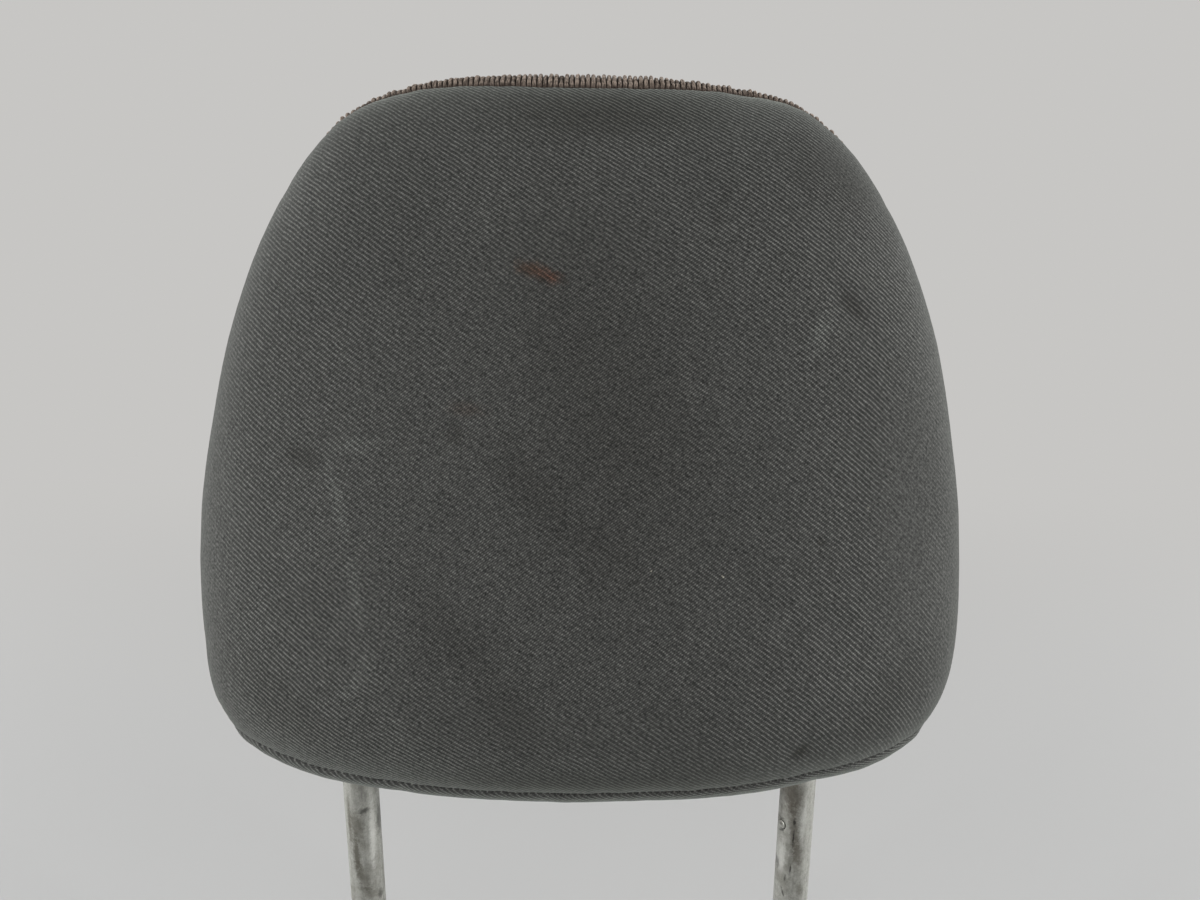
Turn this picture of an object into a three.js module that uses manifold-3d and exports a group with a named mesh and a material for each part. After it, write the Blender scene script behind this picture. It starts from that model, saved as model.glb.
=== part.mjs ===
// A car headrest: a sewn cover over a moulded foam pad, on a bent steel bar whose two legs are the
// posts that slide into the seat back. The rear and the sides are twill, and the front and the top
// are ribbed velour. All sizes are in millimetres.
//
// Frame: +Z runs up along the posts, the twill rear looks towards -Y, and the velour front, which
// the head leans on, looks towards +Y. The origin is midway between the lower ends of the posts.

import * as THREE from "three";
import { mergeVertices } from "three/addons/utils/BufferGeometryUtils.js";
import Module from "manifold-3d";

const wasm = await Module();
wasm.setup();

// Clearance between pieces that touch on the real headrest, and how far a cut runs past its piece.
const FIT_GAP = 0.3;
const CUT_PAST = 2;

// Posts and the bar that they are bent from.
const POST_DIAMETER = 12;
const POST_SPACING = 152;
const POST_EXPOSED_LENGTH = 165;
const POST_END_CHAMFER = 2;
const LEAN_BEND_HEIGHT = 10;
const LEAN_BEND_RADIUS = 60;
const SHOULDER_BEND_RADIUS = 36;
const CROSSBAR_BELOW_PAD_TOP = 89;

// Stop pin on the right post.
const PIN_DIAMETER = 3;
const PIN_TOP_DIAMETER = 1.8;
const PIN_LENGTH = 4;
const PIN_PROUD = 0.6;
const PIN_BELOW_PAD = 11.5;
const PIN_TURN_DEG = 62;

// Pad. Its own plane leans forward from the posts, and heights in it run up from its lowest point.
const PAD_LEAN_DEG = 15;
const PAD_HALF_WIDTH = 130;
const PAD_WIDEST_HEIGHT = 96;
const PAD_HEIGHT = 247;
const REAR_DEPTH_LOW = 50;
const REAR_DEPTH_HIGH = 34;
const FRONT_DEPTH_LOW = 42;
const FRONT_DEPTH_HIGH = 28;

// How square each stretch of the pad's outline is. An ellipse has 2 and 2.
const UPPER_OUTLINE = { across: 4.3, along: 1.5 };
const LOWER_OUTLINE = { across: 2.9, along: 4.9 };

// How square the pad is from its face to its rim, at each side of the outline.
const REAR_CROWN = { side: 1.8, top: 3.0, bottom: 4.0 };
const FRONT_CROWN = { side: 3.4, top: 3.4, bottom: 4.5 };

// Cover panels. A seam's place on the surface is 0 at the rim, -1 at the middle of the rear face
// and 1 at the middle of the front face.
const COVER_THICKNESS = 3;
const VELOUR_SEAM = { top: -0.215, side: 0.45, bottom: 0.18 };
const VELOUR_SEAM_EASE = { upper: 1.12, lower: 0.8 };
const SEAM_HALF_GAP = 0.003;
const HEM_SEAM_HEIGHT = 8.6;
const HEM_SEAM_SIDE_RISE = 21;
const HEM_SEAM_SIDE_POWER = 2.6;
const POST_HOLE_CLEARANCE = 0.5;

// Wires welded to the bar, which hold the foam.
const WIRE_DIAMETER = 5;
const UPPER_WIRE_INSIDE_POSTS = 20;
const UPPER_WIRE_BELOW_PAD_TOP = 35;
const UPPER_WIRE_FOOT_BELOW_CROSSBAR = 18;
const UPPER_WIRE_BEND_RADIUS = 24;
const LOWER_WIRE_PAST_POSTS = 15;
const LOWER_WIRE_HEIGHT = 52;

// Hooked strips that close the cover under the pad, where the underside meets the front.
const STRIP_SIDE_MARGIN = 42;
const STRIP_THICKNESS = 1.2;
const STRIP_BEHIND_SEAM = 4.6;
const STRIP_TOP_HEIGHT = 18;
const STRIP_HOOK_TIP = 4;

// Fineness of the faceted surfaces.
const OUTLINE_POINTS = 44;
const FACE_RINGS = 7;
const BAR_SIDES = 16;
const BAR_STEPS = 48;
const WIRE_SIDES = 10;
const WIRE_STEPS = 24;
const HEM_STEPS = 28;
const STRIP_STEPS = 12;

const lean = THREE.MathUtils.degToRad(PAD_LEAN_DEG);
const postRadius = POST_DIAMETER / 2;
const wireRadius = WIRE_DIAMETER / 2;

// Manifold solids and three.js geometries

function solidFrom(geometry) {
  const bare = geometry.clone();
  bare.deleteAttribute("normal");
  bare.deleteAttribute("uv");
  const merged = mergeVertices(bare, 1e-4);
  const mesh = new wasm.Mesh({
    numProp: 3,
    vertProperties: new Float32Array(merged.attributes.position.array),
    triVerts: new Uint32Array(merged.index.array),
  });
  return new wasm.Manifold(mesh);
}

function geometryFrom(solid) {
  const mesh = solid.getMesh();
  const geometry = new THREE.BufferGeometry();
  geometry.setAttribute("position", new THREE.BufferAttribute(mesh.vertProperties, 3));
  geometry.setIndex(new THREE.BufferAttribute(mesh.triVerts, 1));
  const faceted = geometry.toNonIndexed();
  faceted.computeVertexNormals();
  return faceted;
}

// Pad surface

function signedPower(value, exponent) {
  return Math.sign(value) * Math.abs(value) ** exponent;
}

// A point of the outline in the pad's plane, from an angle that is 90 degrees at the top.
function outlinePoint(angle, inset) {
  const upper = Math.sin(angle) >= 0;
  const shape = upper ? UPPER_OUTLINE : LOWER_OUTLINE;
  const reach = upper ? PAD_HEIGHT - PAD_WIDEST_HEIGHT : PAD_WIDEST_HEIGHT;
  const across = (PAD_HALF_WIDTH - inset) * signedPower(Math.cos(angle), 2 / shape.across);
  const along = (reach - inset) * signedPower(Math.sin(angle), 2 / shape.along);
  return new THREE.Vector2(across, along);
}

// Angles whose outline points lie evenly along the rim.
function evenAngles(count) {
  const fine = 4000;
  const lengths = [0];
  let last = outlinePoint(0, 0);
  for (let i = 1; i <= fine; i += 1) {
    const next = outlinePoint((i / fine) * Math.PI * 2, 0);
    lengths.push(lengths[i - 1] + next.distanceTo(last));
    last = next;
  }
  const angles = [];
  let at = 0;
  for (let i = 0; i < count; i += 1) {
    const wanted = (i / count) * lengths[fine];
    while (lengths[at] < wanted) at += 1;
    angles.push((at / fine) * Math.PI * 2);
  }
  return angles;
}

function crownAt(crown, angle) {
  const up = Math.max(0, Math.sin(angle)) ** 2;
  const down = Math.max(0, -Math.sin(angle)) ** 2;
  return crown.side + (crown.top - crown.side) * up + (crown.bottom - crown.side) * down;
}

// A point of the pad's surface: x across, y towards the front and z up the pad. The place is 0 at
// the rim, -1 at the middle of the rear face and 1 at the middle of the front face.
function padPoint(angle, place, inset) {
  const rim = outlinePoint(angle, inset);
  const share = 1 - place * place;
  const x = rim.x * share;
  const z = PAD_WIDEST_HEIGHT + rim.y * share;
  const front = place > 0;
  const low = front ? FRONT_DEPTH_LOW : REAR_DEPTH_LOW;
  const high = front ? FRONT_DEPTH_HIGH : REAR_DEPTH_HIGH;
  const depth = THREE.MathUtils.lerp(low, high, z / PAD_HEIGHT) - inset;
  const crown = crownAt(front ? FRONT_CROWN : REAR_CROWN, angle);
  const y = Math.sign(place) * depth * Math.sqrt(Math.max(0, 1 - share ** crown));
  return new THREE.Vector3(x, y, z);
}

const angles = evenAngles(OUTLINE_POINTS);

// A closed body through rings of points, which starts and ends at a single point.
function loft(rings) {
  const positions = [];
  const push = (a, b, c) => positions.push(...a.toArray(), ...b.toArray(), ...c.toArray());
  for (let k = 0; k + 1 < rings.length; k += 1) {
    const near = rings[k];
    const far = rings[k + 1];
    for (let i = 0; i < OUTLINE_POINTS; i += 1) {
      const j = (i + 1) % OUTLINE_POINTS;
      if (near.length === 1) push(near[0], far[i], far[j]);
      else if (far.length === 1) push(near[i], far[0], near[j]);
      else {
        push(near[i], far[j], near[j]);
        push(near[i], far[i], far[j]);
      }
    }
  }
  const geometry = new THREE.BufferGeometry();
  geometry.setAttribute("position", new THREE.Float32BufferAttribute(positions, 3));
  return solidFrom(geometry);
}

// Bars and wires bent from round stock

class Bend extends THREE.Curve {
  constructor(centre, start, axis, angle) {
    super();
    this.centre = centre;
    this.arm = start.clone().sub(centre);
    this.axis = axis;
    this.angle = angle;
  }

  getPoint(share, target = new THREE.Vector3()) {
    target.copy(this.arm).applyAxisAngle(this.axis, this.angle * share);
    return target.add(this.centre);
  }
}

// A path through corner points, each corner but the ends rounded to its radius.
function bentPath(corners) {
  const path = new THREE.CurvePath();
  let from = corners[0].at;
  for (let i = 1; i + 1 < corners.length; i += 1) {
    const { at, radius } = corners[i];
    const incoming = at.clone().sub(corners[i - 1].at).normalize();
    const outgoing = corners[i + 1].at.clone().sub(at).normalize();
    const turn = incoming.angleTo(outgoing);
    const setback = radius * Math.tan(turn / 2);
    const start = at.clone().addScaledVector(incoming, -setback);
    const axis = incoming.clone().cross(outgoing).normalize();
    const inward = axis.clone().cross(incoming);
    const centre = start.clone().addScaledVector(inward, radius);
    path.add(new THREE.LineCurve3(from, start));
    path.add(new Bend(centre, start, axis, turn));
    from = at.clone().addScaledVector(outgoing, setback);
  }
  path.add(new THREE.LineCurve3(from, corners[corners.length - 1].at));
  return path;
}

function roundBar(path, radius, sides, steps) {
  const section = new THREE.Shape();
  for (let i = 0; i < sides; i += 1) {
    const angle = (i / sides) * Math.PI * 2;
    const x = radius * Math.cos(angle);
    const y = radius * Math.sin(angle);
    if (i === 0) section.moveTo(x, y);
    else section.lineTo(x, y);
  }
  const geometry = new THREE.ExtrudeGeometry(section, { steps, extrudePath: path });
  return solidFrom(geometry);
}

// The pad's frame inside the posts' frame.
const padPlace = new THREE.Group();
padPlace.position.set(0, 0, POST_EXPOSED_LENGTH);
padPlace.rotation.x = -lean;
padPlace.updateMatrix();
const toPad = padPlace.matrix.clone().invert();

function intoPad(solid) {
  return solid.transform(toPad.elements);
}

// The bar bends forward a little above the pad's underside, so its legs in the pad run parallel to
// the pad's plane, this far from it.
const barOffset = -LEAN_BEND_HEIGHT * Math.sin(lean);
const crossbarHeight = PAD_HEIGHT - CROSSBAR_BELOW_PAD_TOP;

function barCorners() {
  const bend = new THREE.Vector3(0, 0, POST_EXPOSED_LENGTH + LEAN_BEND_HEIGHT);
  const up = new THREE.Vector3(0, Math.sin(lean), Math.cos(lean));
  const top = bend.clone().addScaledVector(up, crossbarHeight - LEAN_BEND_HEIGHT);
  const side = POST_SPACING / 2;
  const leg = (x) => [
    { at: new THREE.Vector3(x, 0, 0) },
    { at: bend.clone().setX(x), radius: LEAN_BEND_RADIUS },
    { at: top.clone().setX(x), radius: SHOULDER_BEND_RADIUS },
  ];
  return [...leg(-side), ...leg(side).reverse()];
}

// The bar, drawn wider by a clearance where it is a cutter.
function bentBar(clearance) {
  return roundBar(bentPath(barCorners()), postRadius + clearance, BAR_SIDES, BAR_STEPS);
}

// A ring-shaped cutter that leaves a chamfer on a post's lower end.
function chamferCutter(x) {
  const inner = postRadius - POST_END_CHAMFER;
  const outer = postRadius + CUT_PAST;
  const profile = [
    new THREE.Vector2(inner, -CUT_PAST),
    new THREE.Vector2(outer, -CUT_PAST),
    new THREE.Vector2(outer, POST_END_CHAMFER + CUT_PAST),
    new THREE.Vector2(inner, 0),
    new THREE.Vector2(inner, -CUT_PAST),
  ];
  const ring = new THREE.LatheGeometry(profile, BAR_SIDES);
  ring.rotateX(Math.PI / 2);
  ring.translate(x, 0, 0);
  return solidFrom(ring);
}

// The pin stands square to the right post's surface, turned from the rear towards the other post.
const pinTurn = THREE.MathUtils.degToRad(PIN_TURN_DEG);
const pinOutward = new THREE.Vector3(-Math.sin(pinTurn), -Math.cos(pinTurn), 0);
const pinFoot = new THREE.Vector3(POST_SPACING / 2, 0, POST_EXPOSED_LENGTH - PIN_BELOW_PAD);
pinFoot.addScaledVector(pinOutward, postRadius + PIN_PROUD - PIN_LENGTH);

// A round body along the pin's axis, from its radii at heights over the pin's foot.
function pinBody(outline) {
  const first = new THREE.Vector2(0, outline[0].y);
  const last = new THREE.Vector2(0, outline[outline.length - 1].y);
  const body = new THREE.LatheGeometry([first, ...outline, last], BAR_SIDES);
  const turn = new THREE.Quaternion().setFromUnitVectors(new THREE.Vector3(0, 1, 0), pinOutward);
  body.applyQuaternion(turn);
  body.translate(pinFoot.x, pinFoot.y, pinFoot.z);
  return solidFrom(body);
}

function makeStopPin() {
  const radius = PIN_DIAMETER / 2;
  return pinBody([
    new THREE.Vector2(radius, 0),
    new THREE.Vector2(radius, PIN_LENGTH - PIN_PROUD / 2),
    new THREE.Vector2(PIN_TOP_DIAMETER / 2, PIN_LENGTH),
  ]);
}

function makePostFrame() {
  const radius = PIN_DIAMETER / 2 + FIT_GAP;
  const pinHole = pinBody([
    new THREE.Vector2(radius, -FIT_GAP),
    new THREE.Vector2(radius, PIN_LENGTH + CUT_PAST),
  ]);
  const [left, right] = [-1, 1].map((side) => chamferCutter((side * POST_SPACING) / 2));
  return bentBar(0).subtract(left).subtract(right).subtract(pinHole);
}

// Wires

function makeUpperWire(radius) {
  const y = barOffset + postRadius + FIT_GAP + wireRadius;
  const side = POST_SPACING / 2 - UPPER_WIRE_INSIDE_POSTS;
  const top = PAD_HEIGHT - UPPER_WIRE_BELOW_PAD_TOP;
  const foot = crossbarHeight - UPPER_WIRE_FOOT_BELOW_CROSSBAR - (radius - wireRadius);
  const at = (x, z) => new THREE.Vector3(x, y, z);
  const corners = [
    { at: at(-side, foot) },
    { at: at(-side, top), radius: UPPER_WIRE_BEND_RADIUS },
    { at: at(side, top), radius: UPPER_WIRE_BEND_RADIUS },
    { at: at(side, foot) },
  ];
  return roundBar(bentPath(corners), radius, WIRE_SIDES, WIRE_STEPS);
}

function makeLowerWire(radius) {
  const y = barOffset - postRadius - FIT_GAP - wireRadius;
  const reach = POST_SPACING / 2 + LOWER_WIRE_PAST_POSTS + radius - wireRadius;
  const path = new THREE.LineCurve3(
    new THREE.Vector3(-reach, y, LOWER_WIRE_HEIGHT),
    new THREE.Vector3(reach, y, LOWER_WIRE_HEIGHT),
  );
  return roundBar(path, radius, WIRE_SIDES, 1);
}

// Foam and cover

function surfaceRing(place, inset) {
  return angles.map((angle) => padPoint(angle, place, inset));
}

// The pad's whole volume, drawn in by an inset.
function padVolume(inset) {
  const rings = [[padPoint(0, -1, inset)]];
  for (let k = 1 - FACE_RINGS; k < FACE_RINGS; k += 1) {
    rings.push(surfaceRing(k / FACE_RINGS, inset));
  }
  rings.push([padPoint(0, 1, inset)]);
  return loft(rings);
}

// Place of the seam between twill and velour: on the rear over the top, in front down the sides
// and under the pad at the bottom.
function velourSeamPlace(angle) {
  const rim = outlinePoint(angle, 0);
  const upper = rim.y > 0;
  const turned = Math.atan2(Math.abs(rim.x), Math.abs(rim.y)) / (Math.PI / 2);
  const share = turned ** (upper ? VELOUR_SEAM_EASE.upper : VELOUR_SEAM_EASE.lower);
  const end = upper ? VELOUR_SEAM.top : VELOUR_SEAM.bottom;
  return THREE.MathUtils.lerp(end, VELOUR_SEAM.side, THREE.MathUtils.smoothstep(share, 0, 1));
}

// All that lies on the front's side of the velour seam, with its edge moved by a shift. Its side
// runs out from the pad's middle, through the seam and well past the cover.
function frontOfSeam(shift) {
  const reach = PAD_HEIGHT;
  const middle = new THREE.Vector3(0, 0, PAD_WIDEST_HEIGHT);
  const edge = (inset) => angles.map((angle) => padPoint(angle, velourSeamPlace(angle) + shift, inset));
  const inner = edge(2 * COVER_THICKNESS);
  const outer = edge(-PAD_HALF_WIDTH / 2);
  const far = outer.map((point) => point.clone().setY(reach));
  return loft([[middle], inner, outer, far, [middle.clone().setY(reach)]]);
}

// All of the pad below the hem seam, which joins the rear panel to the panel under the pad.
function belowHem(shift) {
  const reach = PAD_HALF_WIDTH + CUT_PAST;
  const shape = new THREE.Shape();
  shape.moveTo(-reach, -reach);
  for (let i = 0; i <= HEM_STEPS; i += 1) {
    const x = reach * ((2 * i) / HEM_STEPS - 1);
    const rise = HEM_SEAM_SIDE_RISE * (Math.abs(x) / PAD_HALF_WIDTH) ** HEM_SEAM_SIDE_POWER;
    shape.lineTo(x, HEM_SEAM_HEIGHT + rise + shift);
  }
  shape.lineTo(reach, -reach);
  shape.closePath();
  const slab = new THREE.ExtrudeGeometry(shape, { depth: 2 * reach, bevelEnabled: false });
  slab.rotateX(Math.PI / 2);
  slab.translate(0, reach, 0);
  return solidFrom(slab);
}

const insideCover = padVolume(COVER_THICKNESS + FIT_GAP);
const cover = padVolume(0).subtract(padVolume(COVER_THICKNESS));
const twillCover = cover.subtract(frontOfSeam(-SEAM_HALF_GAP));
const holes = intoPad(bentBar(POST_HOLE_CLEARANCE));
const undersidePanel = twillCover.intersect(belowHem(-FIT_GAP / 2)).subtract(holes);
const rearPanel = twillCover.subtract(belowHem(FIT_GAP / 2));
const frontPanel = cover.intersect(frontOfSeam(SEAM_HALF_GAP));

// Closing strips

// Height of the cover's inner face along the underside's lowest line.
function undersideHeight(x) {
  const { across, along } = LOWER_OUTLINE;
  const share = Math.abs(x) / PAD_HALF_WIDTH;
  const edge = PAD_WIDEST_HEIGHT * (1 - (1 - share ** across) ** (1 / along));
  return edge + COVER_THICKNESS;
}

// A band that follows the underside, between two heights over it and two depths.
function undersideBand(low, high, rear, front, halfLength) {
  const across = [];
  for (let i = 0; i <= STRIP_STEPS; i += 1) across.push(halfLength * ((2 * i) / STRIP_STEPS - 1));
  const lower = across.map((x) => new THREE.Vector2(x, undersideHeight(x) + low));
  const upper = across.map((x) => new THREE.Vector2(x, undersideHeight(x) + high));
  const shape = new THREE.Shape([...lower, ...upper.reverse()]);
  const band = new THREE.ExtrudeGeometry(shape, { depth: front - rear, bevelEnabled: false });
  band.rotateX(Math.PI / 2);
  band.translate(0, front, 0);
  return solidFrom(band);
}

// Each strip is a web that stands on its own panel's edge, a lip and a hook's tip. Both tips hang
// in each other's hooks. These are the depths of each web and tip.
const seamDepth = padPoint(-Math.PI / 2, VELOUR_SEAM.bottom, 0).y;
const stripRearFace = seamDepth - STRIP_BEHIND_SEAM;
const rearWeb = [stripRearFace, stripRearFace + STRIP_THICKNESS];
const frontTip = [rearWeb[1] + FIT_GAP, rearWeb[1] + FIT_GAP + STRIP_THICKNESS];
const rearTip = [frontTip[1] + FIT_GAP, frontTip[1] + FIT_GAP + STRIP_THICKNESS];
const frontWeb = [rearTip[1] + FIT_GAP, rearTip[1] + FIT_GAP + STRIP_THICKNESS];
const rearLipLow = STRIP_TOP_HEIGHT - STRIP_THICKNESS;
const frontLipHigh = rearLipLow - STRIP_HOOK_TIP - FIT_GAP;
const stripHalf = PAD_HALF_WIDTH - STRIP_SIDE_MARGIN;

function makeRearStrip() {
  const web = undersideBand(0, STRIP_TOP_HEIGHT, ...rearWeb, stripHalf);
  const lip = undersideBand(rearLipLow, STRIP_TOP_HEIGHT, rearWeb[0], rearTip[1], stripHalf);
  const tip = undersideBand(rearLipLow - STRIP_HOOK_TIP, STRIP_TOP_HEIGHT, ...rearTip, stripHalf);
  return web.add(lip).add(tip).intersect(insideCover);
}

function makeFrontStrip() {
  const lipLow = frontLipHigh - STRIP_THICKNESS;
  const tipHigh = rearLipLow - FIT_GAP;
  const web = undersideBand(0, frontLipHigh, ...frontWeb, stripHalf);
  const lip = undersideBand(lipLow, frontLipHigh, frontTip[0], frontWeb[1], stripHalf);
  const tip = undersideBand(lipLow, tipHigh, ...frontTip, stripHalf);
  return web.add(lip).add(tip).intersect(insideCover);
}

function stripPocket() {
  const below = -2 * COVER_THICKNESS;
  const above = STRIP_TOP_HEIGHT + FIT_GAP;
  const rear = rearWeb[0] - FIT_GAP;
  const front = frontWeb[1] + FIT_GAP;
  return undersideBand(below, above, rear, front, stripHalf + FIT_GAP);
}

function makeFoam() {
  return insideCover
    .subtract(intoPad(bentBar(FIT_GAP)))
    .subtract(makeUpperWire(wireRadius + FIT_GAP))
    .subtract(makeLowerWire(wireRadius + FIT_GAP))
    .subtract(stripPocket());
}

// Materials and the finished headrest

const steel = new THREE.MeshStandardMaterial({ color: 0x9a9a90, roughness: 0.45, metalness: 0.9 });
const wireSteel = new THREE.MeshStandardMaterial({ color: 0x4a4a4a, roughness: 0.6, metalness: 0.8 });
const twill = new THREE.MeshStandardMaterial({ color: 0x484846, roughness: 0.95, metalness: 0 });
const velour = new THREE.MeshStandardMaterial({ color: 0x7a6f66, roughness: 1, metalness: 0 });
const foam = new THREE.MeshStandardMaterial({ color: 0xd9cfa8, roughness: 1, metalness: 0 });
const plastic = new THREE.MeshStandardMaterial({ color: 0x1c1c1c, roughness: 0.6, metalness: 0 });

function named(name, solid, material) {
  const mesh = new THREE.Mesh(geometryFrom(solid), material);
  mesh.name = name;
  return mesh;
}

padPlace.add(
  named("foam_core", makeFoam(), foam),
  named("cover_rear", rearPanel, twill),
  named("cover_underside", undersidePanel, twill),
  named("cover_front", frontPanel, velour),
  named("upper_foam_wire", makeUpperWire(wireRadius), wireSteel),
  named("lower_foam_wire", makeLowerWire(wireRadius), wireSteel),
  named("closing_strip_rear", makeRearStrip(), plastic),
  named("closing_strip_front", makeFrontStrip(), plastic),
);

const headrest = new THREE.Group();
headrest.name = "headrest";
headrest.add(
  named("post_frame", makePostFrame(), steel),
  named("stop_pin", makeStopPin(), steel),
  padPlace,
);

export default headrest;
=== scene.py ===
import math

import bpy
import numpy as np
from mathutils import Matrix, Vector
from mathutils.bvhtree import BVHTree
from mathutils.kdtree import KDTree


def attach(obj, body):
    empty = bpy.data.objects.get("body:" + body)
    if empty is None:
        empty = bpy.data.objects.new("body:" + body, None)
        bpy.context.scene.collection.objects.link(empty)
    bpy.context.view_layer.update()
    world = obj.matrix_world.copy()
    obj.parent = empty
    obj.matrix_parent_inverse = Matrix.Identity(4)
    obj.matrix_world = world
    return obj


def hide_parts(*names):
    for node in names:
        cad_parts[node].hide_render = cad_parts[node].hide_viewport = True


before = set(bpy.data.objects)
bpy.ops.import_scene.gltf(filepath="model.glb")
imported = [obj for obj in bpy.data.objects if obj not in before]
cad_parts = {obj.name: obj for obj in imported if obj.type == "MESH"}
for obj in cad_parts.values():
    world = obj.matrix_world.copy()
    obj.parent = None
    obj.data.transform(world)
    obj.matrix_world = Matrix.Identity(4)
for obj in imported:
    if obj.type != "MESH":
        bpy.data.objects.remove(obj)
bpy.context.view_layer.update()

# Camera. It stands a third of a metre from the twill rear and looks at it from a little above, as
# the photograph does, whose frame is 1200 by 900 pixels.
MM = 0.001
POST_EXPOSED_LENGTH = 165 * MM
PAD_LEAN = math.radians(15)
PHOTO_WIDTH = 1200
PHOTO_HEIGHT = 900
FOCAL_PIXELS = 930
SENSOR_WIDTH = 36
CAMERA_ELEVATION = math.radians(15)
CAMERA_ROLL = math.radians(0.31)
CAMERA_DISTANCE = 324 * MM
CAMERA_AIM = (6.57 * MM, 0, 118.2 * MM)


def from_pad(points):
    """Points of the pad's own frame, which leans forward from the posts, in the part's frame."""
    x, y, z = np.moveaxis(np.asarray(points, float), -1, 0)
    forward = y * math.cos(PAD_LEAN) + z * math.sin(PAD_LEAN)
    height = POST_EXPOSED_LENGTH - y * math.sin(PAD_LEAN) + z * math.cos(PAD_LEAN)
    return np.stack([x, forward, height], axis=-1)


camera_data = bpy.data.cameras.new("camera")
camera_data.sensor_width = SENSOR_WIDTH
camera_data.lens = SENSOR_WIDTH * FOCAL_PIXELS / PHOTO_WIDTH
camera = bpy.data.objects.new("camera", camera_data)
view_direction = Vector((0, math.cos(CAMERA_ELEVATION), -math.sin(CAMERA_ELEVATION)))
camera.location = Vector(from_pad(CAMERA_AIM)) - CAMERA_DISTANCE * view_direction
camera.rotation_euler = (math.pi / 2 - CAMERA_ELEVATION, 0, 0)
camera.rotation_euler.rotate_axis("Z", CAMERA_ROLL)
bpy.context.scene.collection.objects.link(camera)
bpy.context.scene.camera = camera
bpy.context.scene.view_settings.view_transform = "Standard"


# Studio. One pale sheet runs along the floor and up behind the part in a wide curve, under plain
# soft light from the room, three large lamps and two weaker ones for the side away from the camera.
SHEET_WIDTH = 6.0
SHEET_FRONT = -2.2
SHEET_CURVE_START = 0.9
SHEET_CURVE_RADIUS = 1.1
SHEET_HEIGHT = 3.2
SHEET_CURVE_STEPS = 32
FLOOR_GAP = 0.2 * MM
BACKDROP_COLOUR = (0.475, 0.475, 0.47, 1)
BOUNCE_COLOUR = (0.06, 0.06, 0.059, 1)
GLOW_START = 0.1
GLOW_FULL = 0.9
PALE_COLOUR = (0.572, 0.565, 0.552, 1)
ROOM_COLOUR = (0.95, 0.97, 1.0, 1)
ROOM_STRENGTH = 0.14
LAMPS = {
    "lamp_over_camera": {"at": (-0.3, -1.8, 1.2), "size": 1.0, "power": 3.5},
    "lamp_left": {"at": (-1.65, -0.45, 0.45), "size": 1.3, "power": 62},
    "lamp_right": {"at": (1.65, -0.45, 0.45), "size": 1.3, "power": 63},
    "lamp_left_of_front": {"at": (-1.75, 1.2, 0.9), "size": 0.8, "power": 13},
    "lamp_right_of_front": {"at": (1.75, 1.2, 0.9), "size": 0.8, "power": 13},
}
LAMP_AIM = (0, 0, 0.25)
MIX_INPUTS = (0, 6, 7)
MIX_OUTPUT = 2


def add_node(tree, kind, **settings):
    node = tree.nodes.new(kind)
    for name, value in settings.items():
        setattr(node, name, value)
    return node


def plug(tree, socket, value):
    """Sets a socket to a value, or links it to another node's socket."""
    if isinstance(value, bpy.types.NodeSocket):
        tree.links.new(value, socket)
    else:
        socket.default_value = value


def new_material(name):
    """An empty node tree of a new material, and the socket of its surface."""
    material = bpy.data.materials.new(name)
    material.use_nodes = True
    material.node_tree.nodes.clear()
    output = add_node(material.node_tree, "ShaderNodeOutputMaterial")
    return material, material.node_tree, output.inputs["Surface"]


def calc(tree, operation, *values):
    """The socket of a math node with the given inputs."""
    node = add_node(tree, "ShaderNodeMath", operation=operation)
    for socket, value in zip(node.inputs, values):
        plug(tree, socket, value)
    return node.outputs[0]


def between(tree, value, low, high, first=0.0, last=1.0):
    """A value's place between two limits, eased at both ends, from first to last."""
    node = add_node(tree, "ShaderNodeMapRange", interpolation_type="SMOOTHSTEP")
    names = ("Value", "From Min", "From Max", "To Min", "To Max")
    for name, setting in zip(names, (value, low, high, first, last)):
        plug(tree, node.inputs[name], setting)
    return node.outputs["Result"]


def blend_colours(tree, share, first, last):
    """A mix of two colours, by the share of the last. The node's sockets for colours are told by
    their numbers, because those for other kinds of data have the same names."""
    node = add_node(tree, "ShaderNodeMix", data_type="RGBA")
    for number, value in zip(MIX_INPUTS, (share, first, last)):
        plug(tree, node.inputs[number], value)
    return node.outputs[MIX_OUTPUT]


def blend_shaders(tree, share, first, last, surface):
    """Links a mix of two shader nodes to a surface, by the share of the last."""
    node = add_node(tree, "ShaderNodeMixShader")
    for socket, value in zip(node.inputs, (share, first.outputs[0], last.outputs[0])):
        plug(tree, socket, value)
    plug(tree, surface, node.outputs[0])


def axes(tree, vector):
    """The sockets of a vector's three numbers, by the names of their axes."""
    node = add_node(tree, "ShaderNodeSeparateXYZ")
    plug(tree, node.inputs[0], vector)
    return node.outputs


def object_place(tree):
    return add_node(tree, "ShaderNodeTexCoord").outputs["Object"]


def seen_directly(tree):
    """1 for what the camera sees, also in metal, and 0 for light on its way to the part."""
    ray = add_node(tree, "ShaderNodeLightPath").outputs
    seen = calc(tree, "MAXIMUM", ray["Is Camera Ray"], ray["Is Glossy Ray"])
    return calc(tree, "MAXIMUM", seen, ray["Is Transmission Ray"])


def pick(piece):
    """Makes a piece the only one that operators work on."""
    bpy.ops.object.select_all(action="DESELECT")
    bpy.context.view_layer.objects.active = piece
    piece.select_set(True)


def select_nothing_in(piece):
    """Picks a piece and unselects all its parts, before some are selected by their place."""
    pick(piece)
    bpy.ops.object.mode_set(mode="EDIT")
    bpy.ops.mesh.select_mode(type="EDGE")
    bpy.ops.mesh.select_all(action="DESELECT")
    bpy.ops.object.mode_set(mode="OBJECT")


def on_all_of(piece, operator, **settings):
    """Runs an operator of edit mode on the whole of a piece."""
    pick(piece)
    bpy.ops.object.mode_set(mode="EDIT")
    bpy.ops.mesh.select_all(action="SELECT")
    operator(**settings)
    bpy.ops.object.mode_set(mode="OBJECT")


def in_place(piece):
    """Puts a piece's place, turn and scale into its mesh."""
    pick(piece)
    bpy.ops.object.transform_apply(location=True, rotation=True, scale=True)


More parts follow.
